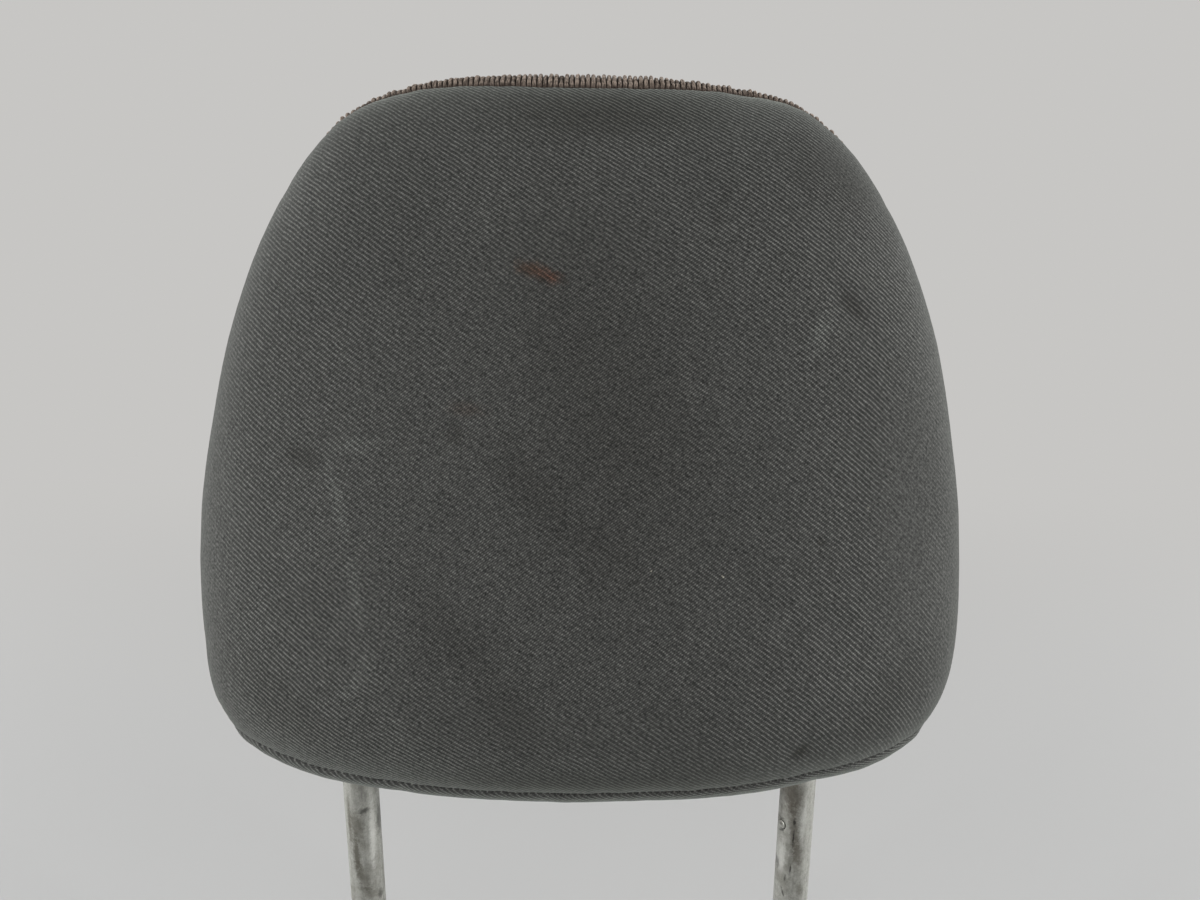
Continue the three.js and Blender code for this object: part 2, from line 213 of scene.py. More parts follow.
bpy.ops.object.select_all(action="DESELECT")
bpy.ops.mesh.primitive_plane_add(size=1)
sheet = bpy.context.object
sheet.name = "studio_sheet"
sheet_depth = SHEET_CURVE_START - SHEET_FRONT
sheet.scale = (SHEET_WIDTH, sheet_depth, 1)
sheet.location = (0, SHEET_FRONT + sheet_depth / 2, -FLOOR_GAP)
in_place(sheet)
select_nothing_in(sheet)
for edge in sheet.data.edges:
    ends = [sheet.data.vertices[i].co.y for i in edge.vertices]
    edge.select = min(ends) > SHEET_CURVE_START - MM
bpy.ops.object.mode_set(mode="EDIT")
bpy.ops.mesh.spin(
    steps=SHEET_CURVE_STEPS,
    angle=math.pi / 2,
    center=(0, SHEET_CURVE_START, SHEET_CURVE_RADIUS - FLOOR_GAP),
    axis=(-1, 0, 0),
)
bpy.ops.mesh.extrude_region_move(
    TRANSFORM_OT_translate={"value": (0, 0, SHEET_HEIGHT - SHEET_CURVE_RADIUS)}
)
bpy.ops.object.mode_set(mode="OBJECT")
on_all_of(sheet, bpy.ops.mesh.normals_make_consistent, inside=False)
bpy.ops.object.shade_smooth()

sheet_material, tree, surface = new_material("studio_paper")
paper = add_node(tree, "ShaderNodeBsdfDiffuse")
paper_colour = blend_colours(tree, seen_directly(tree), BOUNCE_COLOUR, BACKDROP_COLOUR)
plug(tree, paper.inputs["Color"], paper_colour)
glow = add_node(tree, "ShaderNodeEmission")
plug(tree, glow.inputs["Color"], PALE_COLOUR)
far_back = between(tree, axes(tree, object_place(tree))["Y"], GLOW_START, GLOW_FULL)
blend_shaders(tree, calc(tree, "MULTIPLY", far_back, seen_directly(tree)), paper, glow, surface)
sheet.data.materials.append(sheet_material)

world = bpy.data.worlds.new("room")
bpy.context.scene.world = world
world.use_nodes = True
tree = world.node_tree
room_light = tree.nodes["Background"]
plug(tree, room_light.inputs["Color"], ROOM_COLOUR)
plug(tree, room_light.inputs["Strength"], ROOM_STRENGTH)
seen_room = add_node(tree, "ShaderNodeBackground")
plug(tree, seen_room.inputs["Color"], PALE_COLOUR)
surface = tree.nodes["World Output"].inputs["Surface"]
blend_shaders(tree, seen_directly(tree), room_light, seen_room, surface)

for name, lamp in LAMPS.items():
    lamp_data = bpy.data.lights.new(name, "AREA")
    lamp_data.size = lamp["size"]
    lamp_data.energy = lamp["power"]
    lamp_object = bpy.data.objects.new(name, lamp_data)
    lamp_object.location = lamp["at"]
    aim = Vector(LAMP_AIM) - Vector(lamp["at"])
    lamp_object.rotation_euler = aim.to_track_quat("-Z", "Y").to_euler()
    bpy.context.scene.collection.objects.link(lamp_object)

# Posts. One round steel bar is bent to a U: its two legs are the posts, which slide into the seat
# back, and its crossbar lies in the foam. The plating is dull, streaked with old dirt and cracked.
POST_RADIUS = 6 * MM
POST_OFFSET = 76 * MM
POST_END_CHAMFER = 2 * MM
POST_SIDES = 48
POST_STEPS = 165
LEAN_BEND_HEIGHT = 10 * MM
LEAN_BEND_RADIUS = 60 * MM
LEAN_BEND_STEPS = 8
SHOULDER_BEND_RADIUS = 36 * MM
SHOULDER_BEND_STEPS = 20
CROSSBAR_HEIGHT = 158 * MM
HOLE_EDGE_BEVEL = 0.12 * MM
HOLE_EDGE_ANGLE = math.radians(40)
SHARP_ANGLE = math.radians(35)
STEEL_DARK = (0.19, 0.19, 0.172, 1)
STEEL_PALE = (0.36, 0.362, 0.33, 1)
STEEL_PAINTED_HIGHLIGHT = (0.55, 0.55, 0.52, 1)
OLIVE_DIRT = (0.062, 0.055, 0.038, 1)
BROWN_DIRT = (0.062, 0.051, 0.037, 1)
SOOT_AND_PAINTED_SHADE = (0.02, 0.018, 0.016, 1)
POST_STREAKS = {"scale": 420, "detail": 5, "roughness": 0.65, "stretch": (1, 1, 0.1)}
POST_MOTTLING = {"scale": 620, "detail": 5, "roughness": 0.7, "stretch": (1, 1, 0.6)}
POST_PITS = {"scale": 1700, "detail": 3, "roughness": 0.7}
POST_FILM = {"scale": 120, "detail": 3, "roughness": 0.6}
POST_MARK_EDGE = {"scale": 900, "detail": 4, "roughness": 0.7}
POST_PIT_AMOUNT = 0.25
POST_FILM_RANGE = (0.52, 0.72)
POST_FILM_SHARE = 0.35
POST_TONE_RANGE = (0.3, 0.7)
POST_GLOSS_RANGE = (0.35, 0.65)
POST_ROUGHNESS = (0.62, 0.4)
POST_RELIEF = 0.06 * MM
POST_METALLIC = 0.65
POST_MARK_RAGGEDNESS = 1.3
POST_MARK_SOFTNESS = 0.8
POST_MARKS = (
    # Pale streaks down the two posts: painted highlights.
    ((371, 790), (374, 882), 1.3, STEEL_PAINTED_HIGHLIGHT, 0.6),
    ((783, 835), (778, 880), 1.6, STEEL_PAINTED_HIGHLIGHT, 0.5),
    ((807, 792), (801, 845), 1.4, STEEL_PAINTED_HIGHLIGHT, 0.4),
    ((347, 788), (351.5, 850), 1.0, OLIVE_DIRT, 0.6),
    ((354, 812), (359, 842), 3.6, OLIVE_DIRT, 0.6),
    ((354.5, 832), (359, 880), 2.0, OLIVE_DIRT, 0.75),
    ((357, 862), (369, 891), 2.4, OLIVE_DIRT, 0.6),
    ((361, 887), (380, 894), 2.6, OLIVE_DIRT, 0.5),
    ((360.5, 812), (366, 810), 1.6, SOOT_AND_PAINTED_SHADE, 0.75),
    # A darker line down the right edge of the left post.
    ((378, 800), (379.5, 836), 0.6, SOOT_AND_PAINTED_SHADE, 0.6),
    ((380, 888), (381, 898), 0.8, SOOT_AND_PAINTED_SHADE, 0.6),
    ((790, 780), (794, 808), 5.0, BROWN_DIRT, 0.72),
    ((793, 796), (795, 856), 2.3, BROWN_DIRT, 0.65),
    ((796, 840), (798, 866), 2.6, BROWN_DIRT, 0.6),
    ((776, 866), (787, 886), 2.8, OLIVE_DIRT, 0.35),
    ((798, 884), (800, 893), 1.8, OLIVE_DIRT, 0.5),
    ((776, 852), (776.5, 866), 0.8, SOOT_AND_PAINTED_SHADE, 0.65),
    ((794.6, 818), (794.4, 827), 0.7, SOOT_AND_PAINTED_SHADE, 0.9),
    ((794.4, 828), (792.4, 849), 0.4, SOOT_AND_PAINTED_SHADE, 0.95),
    ((791, 862), (789.4, 876), 0.38, SOOT_AND_PAINTED_SHADE, 0.9),
    ((785.6, 873), (784, 882), 0.45, SOOT_AND_PAINTED_SHADE, 0.7),
    ((781, 886), (784, 898), 0.42, SOOT_AND_PAINTED_SHADE, 0.8),
    # Painted shadow in the gap round the stop pin's head and in its centre mark.
    ((780, 829.4), (784, 829.4), 0.45, SOOT_AND_PAINTED_SHADE, 0.75),
    ((780, 817), (784, 818.5), 0.35, SOOT_AND_PAINTED_SHADE, 0.5),
    ((780, 821.5), (780.6, 824.5), 0.42, SOOT_AND_PAINTED_SHADE, 0.6),
)
POST_DINGS = ((779.5, 813), (776, 860), (376, 828))
DING_DEPTH = 0.22 * MM
DING_REACH = 1.3 * MM
PIN_HEIGHT = POST_EXPOSED_LENGTH - 11.5 * MM
PIN_TURN = math.radians(62)
PIN_LENGTH = 4 * MM
PIN_PROUD = 0.3 * MM
PIN_HOLE_RADIUS = 1.8 * MM


def apply_modifier(piece, kind, **settings):
    """Adds a modifier to a piece and applies it at once."""
    pick(piece)
    modifier = piece.modifiers.new(kind.lower(), kind)
    for name, value in settings.items():
        setattr(modifier, name, value)
    bpy.ops.object.modifier_apply(modifier=modifier.name)


def extrude_along(step):
    bpy.ops.mesh.extrude_region_move(TRANSFORM_OT_translate={"value": step})


def grain(tree, vector, scale, detail, roughness, stretch=None):
    """Smooth noise over a vector, about 0.5 on average, drawn out along the axes of a small stretch."""
    if stretch:
        mapping = add_node(tree, "ShaderNodeMapping")
        plug(tree, mapping.inputs["Vector"], vector)
        plug(tree, mapping.inputs["Scale"], stretch)
        vector = mapping.outputs[0]
    node = add_node(tree, "ShaderNodeTexNoise")
    names = ("Vector", "Scale", "Detail", "Roughness")
    for name, setting in zip(names, (vector, scale, detail, roughness)):
        plug(tree, node.inputs[name], setting)
    return node.outputs["Fac"]


def swung(tree, noise, amount, middle=0.0):
    """Noise spread out to an amount, about a middle."""
    return calc(tree, "MULTIPLY_ADD", noise, amount, middle - amount / 2)


def raised(tree, height, depth):
    """The normal of a surface that stands up by a height between 0 and 1 times a depth."""
    node = add_node(tree, "ShaderNodeBump")
    plug(tree, node.inputs["Distance"], depth)
    plug(tree, node.inputs["Height"], height)
    return node.outputs["Normal"]


def finish_material(tree, surface, colour, roughness, normal, **uniform):
    """A surface shader with a colour, a roughness and a normal, and uniform settings by name."""
    shader = add_node(tree, "ShaderNodeBsdfPrincipled")
    plug(tree, shader.inputs["Base Color"], colour)
    plug(tree, shader.inputs["Roughness"], roughness)
    plug(tree, shader.inputs["Normal"], normal)
    for name, value in uniform.items():
        plug(tree, shader.inputs[name.replace("_", " ")], value)
    plug(tree, surface, shader.outputs["BSDF"])


def seen_at(place, form):
    """The first point of a form that the camera sees at a place of the photograph, or the nearest
    one where it looks just past it."""
    ahead = Vector((place[0] - PHOTO_WIDTH / 2, PHOTO_HEIGHT / 2 - place[1], -FOCAL_PIXELS))
    ahead.rotate(camera.rotation_euler)
    ahead.normalize()
    hit = form.ray_cast(camera.location, ahead)[0]
    return hit or form.find_nearest(camera.location + CAMERA_DISTANCE * ahead)[0]


def patch(tree, ends, half_width, ragged, softness):
    """A soft patch along the line between two points, as seen from the rear: 1 in its middle and 0
    outside. Its edge is as ragged as the given noise."""
    step = ends[1] - ends[0]
    around = add_node(tree, "ShaderNodeMapping", vector_type="TEXTURE")
    plug(tree, around.inputs["Vector"], object_place(tree))
    plug(tree, around.inputs["Location"], (ends[0] + ends[1]) / 2)
    plug(tree, around.inputs["Rotation"], (0, -math.atan2(step.z, step.x), 0))
    plug(tree, around.inputs["Scale"], (step.length / 2 + half_width, 1, half_width))
    reach = add_node(tree, "ShaderNodeVectorMath", operation="LENGTH")
    plug(tree, reach.inputs[0], around.outputs[0])
    edge = calc(tree, "ADD", reach.outputs["Value"], ragged)
    return between(tree, edge, 1.0, 1.0 - softness)


def marked(tree, colour, marks, form, ragged, softness):
    """A colour with stains, painted shade and painted highlights, given by their two ends in the
    photograph, half width in millimetres, colour and strength."""
    for start, end, half_width, mark_colour, strength in marks:
        ends = [seen_at(place, form) for place in (start, end)]
        share = calc(tree, "MULTIPLY", patch(tree, ends, half_width * MM, ragged, softness), strength)
        colour = blend_colours(tree, share, colour, mark_colour)
    return colour


def make_post_steel(form):
    """Worn galvanised plating: mottled grey with long streaks, old dirt and fine cracks, with pale streaks
    down the posts that are painted highlights, and painted shadow round the stop pin.
    """
    material, tree, surface = new_material("worn_post_steel")
    place = object_place(tree)
    streaks = grain(tree, place, **POST_STREAKS)
    mottled = grain(tree, place, **POST_MOTTLING)
    pitted = grain(tree, place, **POST_PITS)
    even = calc(tree, "MULTIPLY", calc(tree, "ADD", streaks, mottled), 0.5)
    tone = calc(tree, "ADD", even, swung(tree, pitted, POST_PIT_AMOUNT))
    colour = blend_colours(tree, between(tree, tone, *POST_TONE_RANGE), STEEL_DARK, STEEL_PALE)
    film = between(tree, grain(tree, place, **POST_FILM), *POST_FILM_RANGE, last=POST_FILM_SHARE)
    colour = blend_colours(tree, film, colour, OLIVE_DIRT)
    ragged = swung(tree, grain(tree, place, **POST_MARK_EDGE), POST_MARK_RAGGEDNESS)
    colour = marked(tree, colour, POST_MARKS, form, ragged, POST_MARK_SOFTNESS)
    roughness = between(tree, tone, *POST_GLOSS_RANGE, *POST_ROUGHNESS)
    normal = raised(tree, calc(tree, "ADD", pitted, mottled), POST_RELIEF)
    finish_material(tree, surface, colour, roughness, normal, Metallic=POST_METALLIC)
    return material


def form_tree(piece):
    """A piece's form, for finding points on it."""
    corners = [tuple(polygon.vertices) for polygon in piece.data.polygons]
    return BVHTree.FromPolygons([v.co for v in piece.data.vertices], corners)


def coordinates(mesh):
    flat = np.empty(len(mesh.vertices) * 3)
    mesh.vertices.foreach_get("co", flat)
    return flat.reshape(-1, 3)


def set_coordinates(mesh, points):
    mesh.vertices.foreach_set("co", np.asarray(points, float).ravel())
    mesh.update()


def rod(name, radius, start, end, sides=POST_SIDES):
    """A round rod between two points."""
    bpy.ops.object.select_all(action="DESELECT")
    axis = Vector(end) - Vector(start)
    bpy.ops.mesh.primitive_cylinder_add(
        vertices=sides,
        radius=radius,
        depth=axis.length,
        location=(Vector(start) + Vector(end)) / 2,
        rotation=axis.to_track_quat("Z", "Y").to_euler(),
    )
    piece = bpy.context.object
    piece.name = name
    in_place(piece)
    return piece


def cut_away(piece, tool):
    """Cuts a tool's form out of a piece, and removes the tool."""
    apply_modifier(piece, "BOOLEAN", operation="DIFFERENCE", object=tool, solver="EXACT")
    bpy.data.objects.remove(tool)


lean_setback = LEAN_BEND_RADIUS * math.tan(PAD_LEAN / 2)
lean_start = POST_EXPOSED_LENGTH + LEAN_BEND_HEIGHT - lean_setback
lean_axis = Vector((POST_OFFSET, LEAN_BEND_RADIUS, lean_start))
up_pad = Vector((0, math.sin(PAD_LEAN), math.cos(PAD_LEAN)))
leg_length = CROSSBAR_HEIGHT - LEAN_BEND_HEIGHT - lean_setback - SHOULDER_BEND_RADIUS
lean_end = Vector((POST_OFFSET, 0, POST_EXPOSED_LENGTH + LEAN_BEND_HEIGHT)) + up_pad * lean_setback
shoulder_axis = lean_end + up_pad * leg_length - Vector((SHOULDER_BEND_RADIUS, 0, 0))

bpy.ops.object.select_all(action="DESELECT")
bpy.ops.mesh.primitive_circle_add(
    vertices=POST_SIDES,
    radius=POST_RADIUS - POST_END_CHAMFER,
    fill_type="NGON",
    location=(POST_OFFSET, 0, 0),
)
bar = bpy.context.object
bar.name = "post_bar"
in_place(bar)
bpy.ops.object.mode_set(mode="EDIT")
bpy.ops.mesh.select_mode(type="FACE")
bpy.ops.mesh.select_all(action="SELECT")
extrude_along((0, 0, POST_END_CHAMFER))
widening = POST_RADIUS / (POST_RADIUS - POST_END_CHAMFER)
bpy.ops.transform.resize(
    value=(widening, widening, 1), center_override=(POST_OFFSET, 0, POST_END_CHAMFER)
)
for _ in range(POST_STEPS):
    extrude_along((0, 0, (lean_start - POST_END_CHAMFER) / POST_STEPS))
bpy.ops.mesh.spin(steps=LEAN_BEND_STEPS, angle=PAD_LEAN, center=lean_axis, axis=(1, 0, 0))
extrude_along(up_pad * leg_length)
bpy.ops.mesh.spin(
    steps=SHOULDER_BEND_STEPS,
    angle=math.pi / 2,
    center=shoulder_axis,
    axis=up_pad.cross(Vector((1, 0, 0))),
)
extrude_along((SHOULDER_BEND_RADIUS - POST_OFFSET, 0, 0))
bpy.ops.mesh.delete(type="ONLY_FACE")
bpy.ops.object.mode_set(mode="OBJECT")
apply_modifier(bar, "MIRROR", use_axis=(True, False, False), merge_threshold=MM / 10)
bar_form = form_tree(bar)
bar_points = coordinates(bar.data)
for ding in POST_DINGS:
    centre = np.array(seen_at(ding, bar_form))
    dent = DING_DEPTH * np.exp(-(np.linalg.norm(bar_points - centre, axis=1) / DING_REACH) ** 2)
    to_axis = np.array((math.copysign(POST_OFFSET, centre[0]), 0, centre[2])) - centre
    bar_points += dent[:, None] * to_axis / np.linalg.norm(to_axis)
set_coordinates(bar.data, bar_points)
pin_out = Vector((-math.sin(PIN_TURN), -math.cos(PIN_TURN), 0))
pin_foot = Vector((POST_OFFSET, 0, PIN_HEIGHT)) + pin_out * (POST_RADIUS + PIN_PROUD - PIN_LENGTH)
cut_away(bar, rod("pin_hole", PIN_HOLE_RADIUS, pin_foot, pin_foot + 2 * PIN_LENGTH * pin_out))
hole_edge = {"width": HOLE_EDGE_BEVEL, "limit_method": "ANGLE", "angle_limit": HOLE_EDGE_ANGLE}
apply_modifier(bar, "BEVEL", segments=2, **hole_edge)
bpy.ops.object.shade_smooth_by_angle(angle=SHARP_ANGLE)
post_steel = make_post_steel(bar_form)
bar.data.materials.append(post_steel)
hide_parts("post_frame")
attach(bar, "root")

# Stop pin. A small round pin of the same steel is pressed into a hole in the right post. Its face is
# turned, with a rim and a small centre mark, and stands a little proud.
PIN_RADIUS = 1.5 * MM
PIN_TOP_RADIUS = 0.9 * MM
PIN_RIM = 0.22 * MM
PIN_DISH = 0.14 * MM
PIN_CENTRE_RADIUS = 0.3 * MM
PIN_CENTRE_DEPTH = 0.25 * MM
PIN_SIDES = 40

pin_face_centre = pin_foot + pin_out * (PIN_LENGTH - PIN_RIM)
pin = rod("stop_pin_head", PIN_RADIUS, pin_foot, pin_face_centre, PIN_SIDES)
select_nothing_in(pin)
for polygon in pin.data.polygons:
    polygon.select = (polygon.center - pin_face_centre).length < PIN_RIM / 2
bpy.ops.object.mode_set(mode="EDIT")
bpy.ops.mesh.select_mode(type="FACE")
reach = PIN_RADIUS
for radius, step in (
    (PIN_TOP_RADIUS + PIN_RIM, PIN_RIM),
    (PIN_TOP_RADIUS, 0),
    (PIN_TOP_RADIUS - PIN_RIM, -PIN_DISH),
    (PIN_CENTRE_RADIUS, 0),
    (PIN_CENTRE_RADIUS / 2, -PIN_CENTRE_DEPTH),
):
    extrude_along(pin_out * step)
    pin_face_centre += pin_out * step
    bpy.ops.transform.resize(value=[radius / reach] * 3, center_override=pin_face_centre)
    reach = radius
bpy.ops.object.mode_set(mode="OBJECT")
bpy.ops.object.shade_smooth_by_angle(angle=SHARP_ANGLE)
pin.data.materials.append(post_steel)
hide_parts("stop_pin")
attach(pin, "root")

# Pad. A sewn cover is stretched over moulded foam, which presses it out between its seams. This
# section makes that swollen form, which the three cover panels are laid on.
PAD_HALF_WIDTH = 130 * MM
PAD_WIDEST_HEIGHT = 96 * MM
PAD_HEIGHT = 247 * MM
REAR_DEPTH = {"low": 50 * MM, "high": 34 * MM}
FRONT_DEPTH = {"low": 42 * MM, "high": 28 * MM}
UPPER_OUTLINE = {"across": 4.3, "along": 1.5}
LOWER_OUTLINE = {"across": 2.9, "along": 4.9}
REAR_CROWN = {"side": 1.8, "top": 3.0, "bottom": 4.0}
FRONT_CROWN = {"side": 3.4, "top": 3.4, "bottom": 4.5}
VELOUR_SEAM = {"top": -0.215, "side": 0.45, "bottom": 0.18}
VELOUR_SEAM_EASE = {"upper": 1.12, "lower": 0.8}
HEM_HEIGHT = 8.6 * MM
HEM_SIDE_RISE = 21 * MM
HEM_SIDE_POWER = 2.6
HEM_CORNER_PLACE = -0.12
HEM_SEARCH = np.linspace(0.6, 1, 801)
HEM_SLOPE_SAMPLES = 12
SKIN_START_INSET = -2 * MM
SKIN_START_FLATTER = 2.4 * MM
SKIN_SHARE = 0.6
SKIN_SEGMENTS = 160
SKIN_RINGS = 96
SKIN_VOXEL = 5 * MM
SKIN_PRESSURE = 40
SKIN_FRAMES = 20
SKIN_MOST_SWELLING = 5 * MM
SKIN_SMOOTHING = {"factor": 0.5, "iterations": 6}
SEAM_HOLD = 5 * MM
RIM_REACH = 0.42
RIM_TRIM = (
    (-173, -1.2), (-167, -0.7), (-161, 0), (-153, -0.9), (-148, -0.6), (-141, 0.2),
    (-132, 0.9), (-123, 1.7), (-117, 1.1), (-106, 0.8), (-92, 0.2), (-78, 0.9), (-67, 1.1),
    (-57, 1.6), (-48, 2.6), (-42, 1.3), (-36, 0.8), (-30, 0.2), (-13, -0.8), (-7, -0.9),
    (5, -0.5), (11, -0.4), (26, -1.2), (32, -1.0), (40, -0.6), (46, 0), (62, 0.3),
    (69, 2.2), (75, 1.7), (80, 0.9), (90, 0.0), (103, 0.2), (108, 0.6), (113, 0.6),
    (121, -0.4), (132, 0.5), (140, 0), (154, -0.5), (165, -0.3),
)


def signed_power(value, exponent):
    return np.sign(value) * np.abs(value) ** exponent


def outline(angle, inset=0.0):
    """A point of the pad's outline, from its widest height, at an angle that is 90 degrees up."""
    upper = np.sin(angle) >= 0
    across = np.where(upper, UPPER_OUTLINE["across"], LOWER_OUTLINE["across"])
    along = np.where(upper, UPPER_OUTLINE["along"], LOWER_OUTLINE["along"])
    reach = np.where(upper, PAD_HEIGHT - PAD_WIDEST_HEIGHT, PAD_WIDEST_HEIGHT)
    x = (PAD_HALF_WIDTH - inset) * signed_power(np.cos(angle), 2 / across)
    return x, (reach - inset) * signed_power(np.sin(angle), 2 / along)


def pad_surface(angle, place, inset=0.0):
    """Points of the pad's surface in its own frame. The place is 0 at the rim, -1 at the middle of
    the rear face and 1 at the middle of the front face."""
    rim_x, rim_z = outline(angle, inset)
    share = 1 - place**2
    x, z = rim_x * share, PAD_WIDEST_HEIGHT + rim_z * share
    up, down = np.maximum(0, np.sin(angle)) ** 2, np.maximum(0, -np.sin(angle)) ** 2

    def half(depth, crown):
        low, high = depth["low"], depth["high"]
        middle = low + (high - low) * z / PAD_HEIGHT - inset
        square = (
            crown["side"]
            + (crown["top"] - crown["side"]) * up
            + (crown["bottom"] - crown["side"]) * down
        )
        return middle * np.sqrt(np.maximum(0, 1 - share**square))

    y = np.where(place > 0, half(FRONT_DEPTH, FRONT_CROWN), -half(REAR_DEPTH, REAR_CROWN))
    return np.stack([x, y, z], axis=-1)


def round_angles(low=0.0, high=2 * math.pi, samples=2001):
    """Angles close enough together to follow the outline, between two limits."""
    t = np.linspace(0, 1, samples)
    upper, lower = [
        np.arccos((1 - (1 - t) ** shape["along"]) ** (shape["across"] / 2))
        for shape in (UPPER_OUTLINE, LOWER_OUTLINE)
    ]
    half, full = math.pi, 2 * math.pi
    turn = np.concatenate([upper[::-1], half - upper[1:], half + lower[-2::-1], full - lower[1:]])
    both = np.concatenate([turn[:-1] - full, turn])
    inside = both[(both > low) & (both < high)]
    return np.concatenate([[low], inside, [high]])


def lengths(points, axis=0):
    """How far each point lies along its own line of points, from the line's first."""
    first = np.take(points, [0], axis=axis)
    return np.cumsum(np.linalg.norm(np.diff(points, axis=axis, prepend=first), axis=-1), axis=axis)


def velour_seam(angle):
    """Place of the seam between the twill and the velour."""
    x, z = outline(angle)
    upper = z > 0
    sideways = np.arctan2(np.abs(x), np.abs(z)) / (math.pi / 2)
    share = sideways ** np.where(upper, VELOUR_SEAM_EASE["upper"], VELOUR_SEAM_EASE["lower"])
    ease = share * share * (3 - 2 * share)
    end = np.where(upper, VELOUR_SEAM["top"], VELOUR_SEAM["bottom"])
    return end + (VELOUR_SEAM["side"] - end) * ease


def hem_height(x):
    return HEM_HEIGHT + HEM_SIDE_RISE * (np.abs(x) / PAD_HALF_WIDTH) ** HEM_SIDE_POWER


def hem_seam(angle):
    """Place of the seam between the rear panel and the panel under the pad. At its two ends it runs
    over the rim to the velour seam, and past them it is the velour seam itself."""
    turned = round_angles(-math.pi, 0)
    x, z = outline(turned)
    reach_x, reach_z = np.outer(x, HEM_SEARCH), np.outer(z, HEM_SEARCH) + PAD_WIDEST_HEIGHT
    above = reach_z - hem_height(reach_x)
    last = np.clip(np.argmax(above < 0, axis=1) - 1, 0, None)
    each = np.arange(len(turned))
    over, under = above[each, last], above[each, last + 1]
    crossing = HEM_SEARCH[last] + (HEM_SEARCH[1] - HEM_SEARCH[0]) * over / (over - under)
    rear = np.where((above < 0).any(axis=1), -np.sqrt(np.maximum(0, 1 - crossing)), 1.0)
    inner = np.flatnonzero(rear < HEM_CORNER_PLACE)
    ends = inner[[-HEM_SLOPE_SAMPLES, -1]]
    slope = np.diff(rear[ends])[0] / np.diff(turned[ends])[0]
    past = np.abs(turned + math.pi / 2) - (turned[inner[-1]] + math.pi / 2)
    place = np.where(past > 0, HEM_CORNER_PLACE + slope * past, rear)
    wanted = np.mod(angle + math.pi, 2 * math.pi) - math.pi
    found = np.interp(wanted, turned, place, right=1.0)
    return np.where(wanted > 0, 1.0, found)


def seam_points(place_of, low, high, spacing=0.5 * MM):
    """Points along a seam between two angles, in the part's frame, and how far along each lies."""
    angles = round_angles(low, high)
    points = pad_surface(angles, place_of(angles))
    along = lengths(points)
    even = np.arange(0, along[-1], spacing)
    points = np.stack([np.interp(even, along, points[:, k]) for k in range(3)], axis=-1)
    return from_pad(points), even


def nearest(points, others):
    """The number of the nearest one of other points for each point, and how far away it is."""
    tree = KDTree(len(others))
    for i, point in enumerate(others):
        tree.insert(point, i)
    tree.balance()
    found = [tree.find(point) for point in points.reshape(-1, 3)]
    return [np.array([f[k] for f in found]).reshape(points.shape[:-1]) for k in (1, 2)]


def distances(points, seam):
    """How far each point lies from a seam, and how far along the seam its nearest point is."""
    seam_at, along = seam
    numbers, away = nearest(points, seam_at)
    return away, along[numbers]


right_side = round_angles(-math.pi / 2, 0)
hem_corner = right_side[np.argmax(hem_seam(right_side) >= velour_seam(right_side))]
velour_seam_line = seam_points(velour_seam, 0, 2 * math.pi)
hem_seam_line = seam_points(hem_seam, -math.pi - hem_corner, hem_corner)

bpy.ops.object.select_all(action="DESELECT")
bpy.ops.mesh.primitive_uv_sphere_add(segments=SKIN_SEGMENTS, ring_count=SKIN_RINGS, radius=1)
skin = bpy.context.object
skin.name = "pad_skin"
unit = coordinates(skin.data)
latitude = np.arcsin(np.clip(unit[:, 2], -1, 1)) / (math.pi / 2)
longitude = np.arctan2(unit[:, 1], unit[:, 0])
start = pad_surface(longitude, latitude, SKIN_START_INSET)
start[:, 1] -= SKIN_START_FLATTER * np.tanh(start[:, 1] / REAR_DEPTH["high"])
set_coordinates(skin.data, from_pad(start))
on_all_of(skin, bpy.ops.mesh.normals_make_consistent, inside=False)

skin.data.remesh_voxel_size = SKIN_VOXEL
bpy.ops.object.voxel_remesh()
start = coordinates(skin.data)
held = np.minimum(distances(start, velour_seam_line)[0], distances(start, hem_seam_line)[0])
pins = skin.vertex_groups.new(name="seams")
for i in np.flatnonzero(held < SEAM_HOLD):
    pins.add([int(i)], 1.0, "REPLACE")
cloth = skin.modifiers.new("cloth", "CLOTH")
cloth.settings.use_pressure = True
cloth.settings.uniform_pressure_force = SKIN_PRESSURE
cloth.settings.effector_weights.gravity = 0
cloth.settings.vertex_group_mass = "seams"
cloth.point_cache.frame_start, cloth.point_cache.frame_end = 1, SKIN_FRAMES
for step in range(1, SKIN_FRAMES + 1):
    bpy.context.scene.frame_set(step)
bpy.ops.object.modifier_apply(modifier=cloth.name)
bpy.context.scene.frame_set(1)
moved = coordinates(skin.data) - start
length = np.linalg.norm(moved, axis=1, keepdims=True) + 1e-9
capped = SKIN_MOST_SWELLING * np.tanh(length / SKIN_MOST_SWELLING)
set_coordinates(skin.data, start + moved * capped / length)
apply_modifier(skin, "SUBSURF", levels=1, render_levels=1)
apply_modifier(skin, "SMOOTH", **SKIN_SMOOTHING)

skin_form = form_tree(skin)
bpy.data.objects.remove(skin)

# Rear panel. Grey twill with a thin foam backing covers the rear and the sides. Its edges are turned
# in and sewn, to the velour over the top and down the sides, and to the underside at the hem.
CLOTH_THICKNESS = 1.2 * MM
PANEL_COLUMNS = 480
PANEL_RINGS = 84
EDGE_STEPS = np.array([0.15, 0.25, 0.4, 0.65, 1.0, 1.6, 2.6, 4.0]) * MM
VELOUR_EDGE = {"roll": 0.7 * MM, "pull": 0.45 * MM}
HEM_EDGE = {"roll": 0.32 * MM, "pull": 0.12 * MM}
SEAM_PULL_REACH = 5 * MM
SEAM_GAP = 0.15 * MM
TURN_IN_STEPS = np.array([0.8, 2.0, 3.5]) * MM
PUCKER_HEIGHT = 0.16 * MM
PUCKER_REACH = 7 * MM
PUCKER_LENGTHS = np.array([31, 17, 11.3, 7.9]) * MM
PROBE = 14 * MM
FLAT_ROUNDS = 12
FLAT_MIDDLE_PERCENT = 40
PATTERN_STRIDE = 4
PATTERN_RINGS = 28
